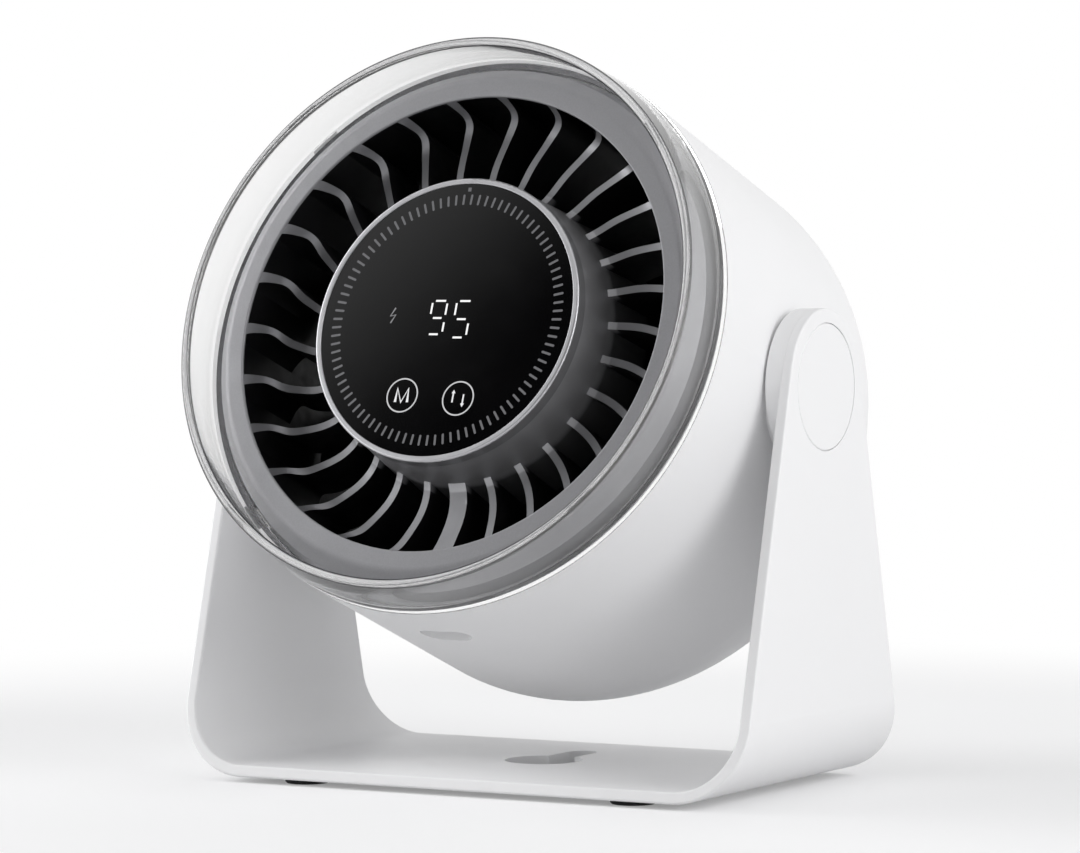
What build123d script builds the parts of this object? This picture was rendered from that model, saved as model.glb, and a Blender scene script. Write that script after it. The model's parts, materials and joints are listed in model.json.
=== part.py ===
"""Desk and wall air circulator fan: a round head that tilts in a U-shaped bracket.

Millimetres. Z is up, the fan faces -Y and tilts about X. The origin is on the floor under the
middle of the fan's outline. The head's pieces are drawn about the head's own axes: X to the right,
Y up the face, Z forward out of the face, with the tilt axis at the origin.
"""
from build123d import *
from math import cos, hypot, radians, sin
import os

# ---------------------------------------------------------------- driving dimensions
# Head: housing
TILT = 20.2                     # degrees that the face looks up at rest
DRUM_FRONT = 44.0               # housing's front edge ahead of the tilt axis
DRUM_FRONT_R = 77.0
DRUM_BACK = -34.3               # where the dome starts
DRUM_DRAFT = 0.6                # the drum widens by this from front to back
DOME_POWER = 1.79               # 2 would be an ellipse
WALL = 2.2
PAD_RISE = 0.5                  # pivot pad's face beyond the drum's front radius
PAD_INSET = 2.2                 # pad's edge inside the arm's boss
INNER_PAD_DEPTH = 2.0           # flat pad inside the housing wall, under the hub's flange

# Head: clear ring
RING_DEPTH = 17.5               # ahead of the housing
RING_DRAFT = 2.0
RING_T = 2.5
RING_SEAM = 0.1
RING_SHOULDER = 2.0             # inner wall ends this far ahead of the housing's edge
RING_SPIGOT = 4.0
SPIGOT_T = 1.9
SPIGOT_FIT = 0.2
LUG_COUNT = 4
LUG_START = 45.0
LUG_WIDTH = 8.0
LUG_HEIGHT = 0.9
LUG_T = 1.6
LUG_FIT = 0.3

# Head: bezel and front grille
BEZEL_SETBACK = 10.6            # bezel's front behind the clear ring's lip
BEZEL_GAP = 1.3                 # between the bezel and the clear ring
BEZEL_W = 9.0
BEZEL_DROP = 4.1                # bezel's outer edge behind its inner edge
BEZEL_T = 1.6
BEZEL_LIP_T = 0.8
BEZEL_LIP_ROUND = 0.4
BEZEL_BAND_W = 5.4              # flat band, from the inner edge to the bevel
BEZEL_BAND_DROP = 0.4           # the band falls back by this
BEZEL_KNEE_ROUND = 3.0          # between the band and the bevel
BEZEL_SKIRT_RISE = 1.2          # skirt's inner corner behind the bevel's end
BEZEL_SEAT = 3.4                # duct wall's end behind the bezel's front
LIP_OVERHANG = 4.1              # bezel's inner edge inside the duct wall
FLANGE_T = 2.0
FLANGE_FIT = 0.5
DUCT_T = 1.6
GRILLE_DEPTH = 30.9             # bezel's front to the back of the vanes
DUCT_TAIL = 4.0                 # duct wall behind the vanes
VANE_COUNT = 28
VANE_W = 2.0
WIRE_VANE_W = 5.0               # the one wide vane, at the bottom, hides the wires
VANE_ROOT = 0.6                 # vanes reach this far into the hub's wall
HUB_FLARE = 3.4
HUB_WALL = 2.0
HUB_FLOOR_T = 2.2

# Each vane's line across the duct: share of the way from hub to duct, and angle in degrees
VANE_LINE = [
    (0.0, 4.5), (0.14, 4.9), (0.36, 4.2), (0.58, 2.1),
    (0.73, 0.3), (0.84, -1.0), (0.92, 0.3), (1.0, 3.2),
]
# The bowl that the vanes' front edges lie on: the same share, and depth behind the bezel's front
VANE_BOWL = [
    (0.0, 11.4), (0.14, 14.3), (0.36, 15.4), (0.58, 15.5),
    (0.73, 14.7), (0.84, 11.4), (0.92, 5.4), (1.0, 1.6),
]

# Display
DISPLAY_PROUD = 1.4             # display's front ahead of the bezel's
DISPLAY_R = 38.9
RIM_W = 1.6
RIM_HEIGHT = 3.8
RIM_LIP = 1.9
RIM_ROUND = 0.6                 # rim's outer edge
RIM_INNER_ROUND = 0.2
RIM_STEP = 0.1                  # rim beyond the hub it stands on
LENS_T = 2.2
LENS_RECESS = 0.4
LENS_GAP = 0.1
BOARD_T = 1.6
LIGHT_SPACE = 8.1               # between the lens and the display board
BOARD_SPACING = 12.0            # between the two boards' backs
BOARD_MARGIN = 1.7              # display board's edge inside the hub's wall
DISPLAY_POSTS = (3, 27.0, 90.0) # how many, on which radius, and where the first stands
CONTROL_POSTS = (3, 20.0, 30.0)
CONTROL_BOARD_R = 24.0
SEGMENTS = (22.0, 14.0)
SEGMENTS_X = 1.2
SEGMENTS_ROUND = 1.0
TICK_RING_MARGIN = 4.3          # tick light guide inside the display's edge
TICK_RING_W = 3.6
TOUCH_PAD_R = 3.4
TOUCH_PADS = [(-8.5, -21.2), (8.3, -21.4)]
CHIP = (9.0, 9.0, 1.2)
CHIP_AT = (2.0, -3.0)
COIL_R = 4.0
COIL_T = 4.5
COIL_AT = (-12.0, 6.0)
POST_R = 2.6
POST_BORE = 5.0                 # depth of the screw hole in a post
POST_END_GAP = 1.0              # left under the screw's end

# Motor
SHAFT_R = 1.5
SHAFT_STUB = 5.0                # behind the impeller
SHAFT_NOSE = 1.5                # ahead of the motor's flange
CLIP_SETBACK = 1.6
CLIP_T = 0.5
CLIP_W = 1.8
CLIP_GROOVE = 0.4
CLIP_FIT = 0.05                 # beside the clip in its groove
PRESS_GAP = 0.02
BEARING_R = 4.0
BEARING_W = 3.0
BEARING_INSET = 1.0
TUBE_T = 1.5
TUBE_CLEARANCE = 1.0            # round the tube in the hub's floor
MOTOR_FLANGE_R = 16.0
MOTOR_FLANGE_T = 1.6
MOTOR_SCREWS = (4, 12.0, 45.0)
STATOR_R = 19.0
STATOR_T = 9.0
STATOR_YOKE = 3.4
STATOR_SPACE = 2.6              # between the flange and the lamination
TOOTH_COUNT = 9
TOOTH_W = 3.0
TOOTH_TIP_T = 1.8
TOOTH_SLOT = 1.6
COIL_W = 5.0
COIL_OVERHANG = 1.5             # winding beyond each face of the lamination
COIL_FIT = 0.05
COIL_END_GAP = 0.2              # between a winding and the yoke or the tooth's tip
COIL_SPACE = 4.1                # between the winding and the bell's floor
AIR_GAP = 0.6
MAGNET_T = 2.4
MAGNET_OVERLAP = 0.5            # magnet beyond each face of the lamination
BELL_T = 1.2
BELL_BOSS_T = 2.0
BELL_BOSS_H = 2.0
BELL_LIP = 1.0
TUBE_GAP = 0.2                  # between the bell's boss and the bearing tube

# Impeller
TIP_GAP = 1.7
VANE_GAP = 1.8                  # between the impeller and the guide vanes
HUB_STEP = 1.7                  # impeller's hub inside the grille's hub
IMPELLER_DEPTH = 33.2
IMPELLER_WALL = 2.0
IMPELLER_FLOOR = 3.0
IMPELLER_BULGE = (2.2, 2.0)     # of the hub's rounded back, outward and backward
BELL_SOCKET = 8.0               # bell's socket ends this far behind the hub's rim
BLADE_COUNT = 9
BLADE_T = 2.0
BLADE_BOW = 0.09                # share of the chord
BLADE_RISE = 1.0                # blades' middle ahead of the hub's middle
BLADE_ROOT = (30.0, 48.0)       # chord, and degrees from the plane of rotation
BLADE_TIP = (40.0, 30.0)
NUT_R = 3.0
NUT_T = 2.4

# Duct shroud
SHROUD_SOCKET = 3.4
SHROUD_FIT = 0.1
SHROUD_REACH = 7.7              # mouth behind the start of the dome
SHROUD_THROAT = 12.0            # mouth's depth
SHROUD_BOW = 1.2                # mouth's arc beyond the duct wall at half its depth
SHROUD_BOW_IN = (1.5, 1.0)      # the same inside, and how far it lies behind
MOUTH_GAP = 0.35

# Intake grille in the dome
INTAKE_MARGIN = 20.6            # intake's edge inside the drum's back edge
INTAKE_GAP = 0.3
INTAKE_SLOT_W = 3.4
INTAKE_BAR_W = 1.5
INTAKE_SLOTS = 5
INTAKE_RIBS = 8
INTAKE_RIB_W = 2.4
INTAKE_RIM_W = 1.0              # between the outer slot and the ledge
LEDGE_DEPTH = 5.8               # ledge's back below the dome's face at the intake's edge
LEDGE_W = 8.0
LEDGE_T = 2.0
INTAKE_SCREW_COUNT = 4
INTAKE_SCREW_START = 45.0
INTAKE_SCREW_INSET = 4.6        # screws' circle inside the intake's edge
SCREW_WELL = 3.0                # screw heads below the dome's face
SCREW_WELL_WALL = 1.2
SCREW_WELL_FIT = 0.2
DOME_POINT_GAP = 3.0            # least step between the points of the dome's curve

# Battery
CELL_R = 9.2
CELL_LENGTH = 65.0
CELL_GAP = 0.6
CELL_FIT = 0.2
CELL_ROUND = 0.5
POD_WALL = 1.3
POD_SETBACK = 6.4               # battery's seat ahead of the dome's end
POD_SEAT_BEVEL = (1.0, 2.0)
POD_SCREW_DEPTH = 3.0           # holes in the seat
POD_GAP = 0.8                   # between the case and the shaft's end
POD_EAR_OUT = 6.0               # ears' screws beyond the cells' side
POD_EAR_R = 3.0
POD_EAR_T = 2.4
POD_EAR_WEB = 0.4               # share of the ear's reach that its web spans
CONTACT_T = 0.5
CONTACT_W = 7.0
CONTACT_TAB = 8.0
CONTACT_GAP = 0.1

# Charging socket
PORT_SETBACK = 19.6             # behind the housing's front edge
PORT_RECESS = (14.6, 8.0)
PORT_RECESS_DEPTH = 2.4
PORT_RIM = (4.0, 2.0)           # wall round the recess floor, wide and thick
PORT_FLOOR_T = 1.5
SOCKET = (8.9, 3.3)
SOCKET_SINK = 0.2
SOCKET_GAP = 0.7                # between the socket's back and the duct wall
SOCKET_WALL = 0.3
SOCKET_BACK_T = 1.2
SOCKET_FIT = 0.1
TONGUE = (6.6, 0.8)
TONGUE_SETBACK = 0.7
CHARGE_BOARD_W = 22.0
CHARGE_BOARD_T = 1.0
CHARGE_BOARD_GAP = 1.0          # between the board and the duct wall
GUIDE_W = 2.0
GUIDE_FIT = 0.05

# Tilt hinge, the same on both sides
CAP_R = 16.5
CAP_GAP = 0.12
CAP_T = 1.1
CAP_SKIRT_T = 1.6
CAP_ROUND = 0.3
JOURNAL_R = 6.0
JOURNAL_SCREW_R = 2.0
RUNNING_FIT = 0.05
PAD_GAP = 0.4                   # between the arm's boss and the head's pad
FRICTION_T = 0.5
WASHER_T = 0.8
WASHER_MARGIN = 1.9             # washer's edge inside the cap's skirt
WASHER_BORE_FIT = 0.1
PIVOT_HEAD_R = 4.5
PIVOT_HEAD_T = 1.6
HUB_BODY_R = 8.0
HUB_FLANGE_R = 12.5
HUB_FLANGE_T = 2.2
HUB_SCREW_COUNT = 3
HUB_SCREW_GRIP = 3.0
HUB_SCREW_END_GAP = 0.2

# Bracket
PLATE_T = 3.1
CORNER_R = 20.0
SWEEP_GAP = 4.1                 # between the plate and the head's furthest point as it tilts
BASE_FRONT = 48.9               # plate's front edge ahead of the tilt axis
BASE_BACK = 45.7
ARM_TOP_R = 20.35
ARM_BOSS_DEPTH = 4.3            # boss standing inward from each arm
ARM_BOSS_STEP = 0.1             # boss's edge inside the arm's
EDGE_ROUND = 0.6
KEYHOLE_R = 10.5
KEYHOLE_SLOT_R = 4.0
KEYHOLE_Y = 1.0                 # entry hole's centre behind the tilt axis
KEYHOLE_RUN = 21.0              # from the entry hole's centre to the slot's end centre

# Feet
FOOT_R = 6.0
FOOT_HEIGHT = 1.5
FOOT_SINK = 0.8
FOOT_ROUND = 0.4
FOOT_SIDE_INSET = 35.8          # foot's centre in from the bracket's side
FOOT_INSET = 9.8                # foot's centre in from the plate's front and back edges

# Screws: shank radius, head radius, head height
SMALL_SCREW = (1.0, 1.9, 1.2)
SCREW_FIT = 0.05
THROUGH = 1.0                   # cutters run past the faces by this

# ---------------------------------------------------------------- places worked out from them
# Along the head's axis, front to back
RING_FRONT = DRUM_FRONT + RING_DEPTH
BEZEL_FRONT = RING_FRONT - BEZEL_SETBACK
BEZEL_SHOULDER = BEZEL_FRONT - BEZEL_DROP
LIP_BACK = BEZEL_FRONT - BEZEL_LIP_T
DUCT_TOP = BEZEL_FRONT - BEZEL_SEAT
DISPLAY_FRONT = BEZEL_FRONT + DISPLAY_PROUD
DISPLAY_SEAT = DISPLAY_FRONT - RIM_HEIGHT
LENS_FRONT = DISPLAY_FRONT - LENS_RECESS
LENS_BACK = LENS_FRONT - LENS_T
BOARD_TOP = LENS_BACK - LIGHT_SPACE
DISPLAY_BOARD_BACK = BOARD_TOP - BOARD_T
CONTROL_BOARD_BACK = DISPLAY_BOARD_BACK - BOARD_SPACING
FLANGE_FRONT = DRUM_FRONT - RING_SPIGOT
FLANGE_BACK = FLANGE_FRONT - FLANGE_T
PORT_Z = DRUM_FRONT - PORT_SETBACK
VANE_BACK = BEZEL_FRONT - GRILLE_DEPTH
HUB_FLOOR = VANE_BACK + HUB_FLOOR_T
DUCT_BACK = VANE_BACK - DUCT_TAIL
MOTOR_FRONT = VANE_BACK - MOTOR_FLANGE_T
STATOR_BACK = MOTOR_FRONT - STATOR_SPACE - STATOR_T
BELL_BACK = STATOR_BACK - COIL_OVERHANG - COIL_SPACE - BELL_T
TUBE_BACK = BELL_BACK + BELL_BOSS_H + TUBE_GAP
IMPELLER_FRONT = VANE_BACK - VANE_GAP
IMPELLER_BACK = IMPELLER_FRONT - IMPELLER_DEPTH
SHAFT_BACK = IMPELLER_BACK - SHAFT_STUB
POD_FRONT = SHAFT_BACK - POD_GAP
POD_SEAT = POD_FRONT - POD_WALL - CELL_LENGTH - 2 * (CONTACT_T + CONTACT_GAP) - CONTACT_GAP
DOME_END = POD_SEAT - POD_SETBACK
DOME_DEPTH = DRUM_BACK - DOME_END
SHROUD_BACK = DRUM_BACK - SHROUD_REACH

# Radii, outside to inside
DRUM_BACK_R = DRUM_FRONT_R + DRUM_DRAFT
BORE_FRONT_R = DRUM_FRONT_R - WALL
SPIGOT_R = BORE_FRONT_R - SPIGOT_FIT
RING_FRONT_R = DRUM_FRONT_R - RING_DRAFT
BEZEL_OUT_R = RING_FRONT_R - RING_T - BEZEL_GAP
BEZEL_IN_R = BEZEL_OUT_R - BEZEL_W
FLANGE_R = BORE_FRONT_R - FLANGE_FIT
DUCT_R = BEZEL_IN_R + LIP_OVERHANG
DUCT_OUT_R = DUCT_R + DUCT_T
VANE_OUT_R = DUCT_R + DUCT_T / 2
HUB_FRONT_R = DISPLAY_R - RIM_STEP
HUB_BACK_R = HUB_FRONT_R + HUB_FLARE
VANE_IN_R = HUB_FRONT_R - VANE_ROOT
DISPLAY_BOARD_R = HUB_FRONT_R - HUB_WALL - BOARD_MARGIN
TICK_RING_R = DISPLAY_R - TICK_RING_MARGIN
IMPELLER_R = DUCT_R - TIP_GAP
IMPELLER_HUB_R = HUB_BACK_R - HUB_STEP
TUBE_R = BEARING_R + TUBE_T
MAGNET_R = STATOR_R + AIR_GAP
BELL_IN_R = MAGNET_R + MAGNET_T
BELL_R = BELL_IN_R + BELL_T
INTAKE_R = DRUM_BACK_R - INTAKE_MARGIN
LEDGE_IN_R = INTAKE_R - LEDGE_W
INTAKE_SCREW_PITCH_R = INTAKE_R - INTAKE_SCREW_INSET
SLOTS_W = INTAKE_SLOTS * INTAKE_SLOT_W + (INTAKE_SLOTS - 1) * INTAKE_BAR_W
INTAKE_DISC_R = LEDGE_IN_R - INTAKE_RIM_W - SLOTS_W
CELL_SPACING = 2 * CELL_R + CELL_GAP
POD_BORE_R = CELL_R + CELL_FIT
POD_EAR_Y = CELL_R + POD_EAR_OUT
PORT_FACE = DRUM_FRONT_R - PORT_RECESS_DEPTH
PORT_BACK = PORT_FACE - PORT_FLOOR_T
PORT_ROOT = DRUM_FRONT_R - WALL / 2
SCREW_R, SCREW_HEAD_R, SCREW_HEAD_T = SMALL_SCREW
SCREW_HOLE_R = SCREW_R + SCREW_FIT

# Across, from the head out to the bracket's side
PAD_X = DRUM_FRONT_R + PAD_RISE
INNER_PAD_X = BORE_FRONT_R - INNER_PAD_DEPTH
HUB_BACK_X = INNER_PAD_X - HUB_FLANGE_T
BOSS_IN = PAD_X + PAD_GAP
ARM_IN = BOSS_IN + ARM_BOSS_DEPTH
HALF = ARM_IN + PLATE_T
STAND_WIDTH = 2 * HALF
SEAT_X = HALF - CAP_T - PIVOT_HEAD_T - WASHER_T - FRICTION_T - 2 * RUNNING_FIT
WASHER_X = SEAT_X + FRICTION_T + RUNNING_FIT
RECESS_R = CAP_R + CAP_GAP
WASHER_R = CAP_R - CAP_SKIRT_T - WASHER_MARGIN
HUB_SCREW_PITCH_R = (HUB_BODY_R + HUB_FLANGE_R) / 2
BOSS_R = ARM_TOP_R - ARM_BOSS_STEP
PAD_R = BOSS_R - PAD_INSET

# Up from the plate's underside
HEAD_REACH = max(hypot(RING_FRONT, RING_FRONT_R), -DOME_END)
PIVOT_HEIGHT = HEAD_REACH + SWEEP_GAP + PLATE_T
PIVOT_Z = FOOT_HEIGHT + PIVOT_HEIGHT
FOOT_X = HALF - FOOT_SIDE_INSET

HEAD = Plane(origin=(0, 0, PIVOT_Z), x_dir=(1, 0, 0), z_dir=(0, -cos(radians(TILT)), sin(radians(TILT))))
SIDES = (-1, 1)


# ---------------------------------------------------------------- shared shapes
def turned(*outline):
    """Solid turned about Z from a closed outline of (radius, height) points."""
    return revolve(Plane.XZ * make_face(Polyline(*outline, close=True)), Axis.Z)


def turned_curves(*curves):
    """Solid turned about Z from lines and curves that close an outline in (radius, height)."""
    return revolve(Plane.XZ * make_face(Curve() + list(curves)), Axis.Z)


def turned_rounded(outline, rounds):
    """Solid turned about Z from a closed outline, some of whose corners get a radius."""
    face = make_face(Polyline(*outline, close=True))
    for corner, radius in rounds:
        face = fillet(face.vertices().sort_by_distance(Vector(*corner))[0], radius)
    return revolve(Plane.XZ * face, Axis.Z)


def tube(outer, inner, low, high):
    """Plain ring about Z."""
    return turned((inner, low), (outer, low), (outer, high), (inner, high))


def disc(radius, low, high, x=0.0, y=0.0):
    """Plain round disc or pin along Z."""
    return Pos(x, y, (low + high) / 2) * Cylinder(radius, high - low)


def hole(radius, low, high, x=0.0, y=0.0):
    """Cutter for a round hole between two faces."""
    return disc(radius, low - THROUGH, high + THROUGH, x, y)


def along_x(shape, side):
    """Turn a shape drawn about Z so that its Z runs outward along X on the given side."""
    return Rot(0, 90 * side, 0) * shape


def both_sides(shape):
    """Left and right copies of a shape drawn about the tilt axis."""
    return Compound([along_x(shape, side) for side in SIDES])


def turn(count, k, start=0.0):
    """The k-th of evenly spaced turns about Z."""
    return Rot(0, 0, start + 360 * k / count)


def around(count, radius, start=0.0):
    """Places evenly spaced on a circle, as (x, y)."""
    turns = [radians(start + 360 * k / count) for k in range(count)]
    return [(radius * cos(t), radius * sin(t)) for t in turns]


def placed(shape, spots, height=0.0):
    """Copies of a shape at (x, y) spots, kept as separate solids."""
    return Compound([Pos(x, y, height) * shape for x, y in spots])


def screw(length, size=SMALL_SCREW):
    """Screw with its shank down -Z from the seat of its head at the origin."""
    shank_r, head_r, head_t = size
    body = turned((0, -length), (shank_r * 0.6, -length), (shank_r, -length + shank_r), (shank_r, 0),
                  (head_r, 0), (head_r, head_t * 0.5), (head_r * 0.6, head_t), (0, head_t))
    return body - Pos(0, 0, head_t) * Box(head_r, head_r * 0.25, head_t * 0.8)


def stadium(size, low, high):
    """Slot-shaped solid along Z, size = (width, thickness)."""
    return extrude(Pos(0, 0, low) * SlotOverall(*size), high - low)


# ---------------------------------------------------------------- bracket and feet
def bracket_blank():
    """U of plate, cut to the tapering side outline, with all its edges rounded."""
    tall = PIVOT_HEIGHT + ARM_TOP_R
    outer = Pos(0, tall / 2) * Rectangle(STAND_WIDTH, tall)
    outer = fillet(outer.vertices().group_by(Axis.Y)[0], CORNER_R)
    inner = Pos(0, tall / 2 + PLATE_T) * Rectangle(2 * ARM_IN, tall)
    inner = fillet(inner.vertices().group_by(Axis.Y)[0], CORNER_R - PLATE_T)
    channel = extrude(Plane.XZ * (outer - inner), BASE_FRONT + ARM_TOP_R, both=True)
    top = CenterArc((0, PIVOT_HEIGHT), ARM_TOP_R, 0, 360)
    foot = Line((-BASE_FRONT, 0), (BASE_BACK, 0))
    side = make_hull([top, foot])
    plate = channel & extrude(Plane.YZ * side, HALF, both=True)
    return fillet(plate.edges(), EDGE_ROUND)


def keyhole():
    """Round entry hole with a slot that runs back from it."""
    entry = Pos(0, KEYHOLE_Y) * Circle(KEYHOLE_R)
    slot = Pos(0, KEYHOLE_Y + KEYHOLE_RUN / 2) * Rectangle(2 * KEYHOLE_SLOT_R, KEYHOLE_RUN)
    end = Pos(0, KEYHOLE_Y + KEYHOLE_RUN) * Circle(KEYHOLE_SLOT_R)
    return extrude(entry + slot + end, 2 * PLATE_T, both=True)


def foot_spots():
    rows = (-BASE_FRONT + FOOT_INSET, BASE_BACK - FOOT_INSET)
    return [(x, y) for x in (-FOOT_X, FOOT_X) for y in rows]


def stand_bracket():
    """Bracket with pivot bosses, cap recesses, journal bores, keyhole and foot sockets."""
    axle = Pos(0, 0, PIVOT_HEIGHT)
    body = bracket_blank()
    for side in SIDES:
        body += axle * along_x(disc(BOSS_R, BOSS_IN, HALF - PLATE_T / 2), side)
        body -= axle * along_x(disc(RECESS_R, SEAT_X, HALF + THROUGH), side)
        body -= axle * along_x(hole(JOURNAL_R + RUNNING_FIT, BOSS_IN, SEAT_X), side)
    body -= keyhole()
    for x, y in foot_spots():
        body -= disc(FOOT_R + SCREW_FIT, -THROUGH, FOOT_SINK, x, y)
    return Pos(0, 0, FOOT_HEIGHT) * body


def stand_feet():
    """Round rubber pads in shallow sockets under the plate."""
    tall = FOOT_HEIGHT + FOOT_SINK
    pad = turned((0, 0), (FOOT_R - FOOT_ROUND, 0), (FOOT_R, FOOT_ROUND), (FOOT_R, tall), (0, tall))
    return placed(pad, foot_spots())


# ---------------------------------------------------------------- tilt hinge
def pivot_caps():
    """Push-in covers over the hinge screws, with a skirt down to the recess floor."""
    skirt_in = CAP_R - CAP_SKIRT_T
    under = HALF - CAP_T
    cap = turned((0, under), (skirt_in, under), (skirt_in, SEAT_X), (CAP_R, SEAT_X),
                 (CAP_R, HALF - CAP_ROUND), (CAP_R - CAP_ROUND, HALF), (0, HALF))
    return Pos(0, 0, PIVOT_Z) * both_sides(cap)


def friction_discs():
    """Fibre discs on the recess floors, which hold the head where it is put."""
    ring = tube(WASHER_R, JOURNAL_R + WASHER_BORE_FIT, SEAT_X, SEAT_X + FRICTION_T)
    return Pos(0, 0, PIVOT_Z) * both_sides(ring)


def hub_screw_spots():
    return around(HUB_SCREW_COUNT, HUB_SCREW_PITCH_R)


def pivot_hubs():
    """Flanged steel journals through the housing wall into the arms' bores."""
    journal_end = WASHER_X - RUNNING_FIT
    hub = turned((JOURNAL_SCREW_R, HUB_BACK_X), (HUB_FLANGE_R, HUB_BACK_X), (HUB_FLANGE_R, INNER_PAD_X),
                 (HUB_BODY_R, INNER_PAD_X), (HUB_BODY_R, PAD_X), (JOURNAL_R, PAD_X),
                 (JOURNAL_R, journal_end), (JOURNAL_SCREW_R, journal_end))
    for x, y in hub_screw_spots():
        hub -= hole(SCREW_HOLE_R, HUB_BACK_X, INNER_PAD_X, x, y)
    return both_sides(hub)


def hub_screws():
    """Three screws a side hold each hub's flange to the pad inside the housing."""
    one = Rot(180, 0, 0) * screw(HUB_FLANGE_T + HUB_SCREW_GRIP)
    return both_sides(placed(one, hub_screw_spots(), HUB_BACK_X))


def pivot_washers():
    bore_r = JOURNAL_SCREW_R + WASHER_BORE_FIT
    return both_sides(tube(WASHER_R, bore_r, WASHER_X, WASHER_X + WASHER_T))


def pivot_screws():
    head_seat = WASHER_X + WASHER_T
    size = (JOURNAL_SCREW_R - SCREW_FIT, PIVOT_HEAD_R, PIVOT_HEAD_T)
    return both_sides(Pos(0, 0, head_seat) * screw(head_seat - HUB_BACK_X, size))


# ---------------------------------------------------------------- housing
def dome_height(radius, inset=0.0):
    """Z of the dome at a radius, on the outer face or inset by a wall."""
    share = 1 - (radius / (DRUM_BACK_R - inset)) ** DOME_POWER
    return DRUM_BACK - (DOME_DEPTH - inset) * share ** (1 / DOME_POWER)


def dome_radius(height, inset=0.0):
    """Radius of the dome at a Z, the inverse of dome_height."""
    share = 1 - ((DRUM_BACK - height) / (DOME_DEPTH - inset)) ** DOME_POWER
    return (DRUM_BACK_R - inset) * share ** (1 / DOME_POWER)


LEDGE_BACK = dome_height(INTAKE_R) + LEDGE_DEPTH
LEDGE_FRONT = LEDGE_BACK + LEDGE_T
INTAKE_SCREW_SEAT = dome_height(INTAKE_SCREW_PITCH_R) + SCREW_WELL


def dome_curve(rim_radius, inset=0.0, steps=5):
    """Curve of the dome from the drum's edge to a rim radius."""
    start = DRUM_BACK_R - inset
    radii = [start * cos(radians(k * 90 / steps)) ** (2 / DOME_POWER) for k in range(steps)]
    radii = [r for r in radii if r > rim_radius + DOME_POINT_GAP] + [rim_radius]
    return Spline(*[(r, dome_height(r, inset)) for r in radii])


def cap_curve(rim_radius, inset, steps=5):
    """Curve of the dome from its middle out to a rim radius."""
    radii = [rim_radius * k / steps for k in range(steps + 1)]
    return Spline(*[(r, dome_height(r, inset)) for r in radii])


def housing_shell():
    """Drum and dome, open at the front and at the intake."""
    outer = dome_curve(INTAKE_R)
    inner = dome_curve(INTAKE_R, WALL)
    return turned_curves(
        Line((DRUM_FRONT_R, DRUM_FRONT), (DRUM_BACK_R, DRUM_BACK)),
        outer,
        Line(outer @ 1, inner @ 1),
        inner,
        Line((DRUM_BACK_R - WALL, DRUM_BACK), (BORE_FRONT_R, DRUM_FRONT)),
        Line((BORE_FRONT_R, DRUM_FRONT), (DRUM_FRONT_R, DRUM_FRONT)),
    )


def down_port(shape):
    """Turn a shape drawn along Z so that it looks down out of the head at the charging port."""
    return Pos(0, 0, PORT_Z) * Rot(90, 0, 0) * shape


def charge_board_place(fit=0.0):
    """The charge board's block, along the socket's upper side, with an allowance all round."""
    inner = DUCT_OUT_R + CHARGE_BOARD_GAP
    level = SOCKET[1] / 2 + CHARGE_BOARD_T / 2
    size = (CHARGE_BOARD_W + 2 * fit, CHARGE_BOARD_T + 2 * fit, PORT_BACK - inner)
    return Pos(0, level, (PORT_BACK + inner) / 2) * Box(*size)


def board_guides():
    """Two ribs beside the port that hold the charge board's ends in grooves."""
    inner = DUCT_OUT_R + CHARGE_BOARD_GAP
    level = SOCKET[1] / 2 + CHARGE_BOARD_T / 2
    rib = Box(2 * GUIDE_W, 3 * CHARGE_BOARD_T, PORT_ROOT - inner)
    ribs = [Pos(side * CHARGE_BOARD_W / 2, level, (PORT_ROOT + inner) / 2) * rib for side in SIDES]
    return Compound(ribs)


def lug_ways():
    """Bayonet ways for the clear ring's lugs, cut in the housing's bore."""
    reach = SPIGOT_R + LUG_HEIGHT + LUG_FIT
    block = tube(reach, BORE_FRONT_R - THROUGH, FLANGE_FRONT, DRUM_FRONT + THROUGH)
    way = block & Pos(reach / 2, 0, DRUM_FRONT) * Box(reach, LUG_WIDTH + 2 * LUG_FIT, 4 * RING_SPIGOT)
    return Compound([turn(LUG_COUNT, k, LUG_START) * way for k in range(LUG_COUNT)])


def intake_screw_spots():
    return around(INTAKE_SCREW_COUNT, INTAKE_SCREW_PITCH_R, INTAKE_SCREW_START)


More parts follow.
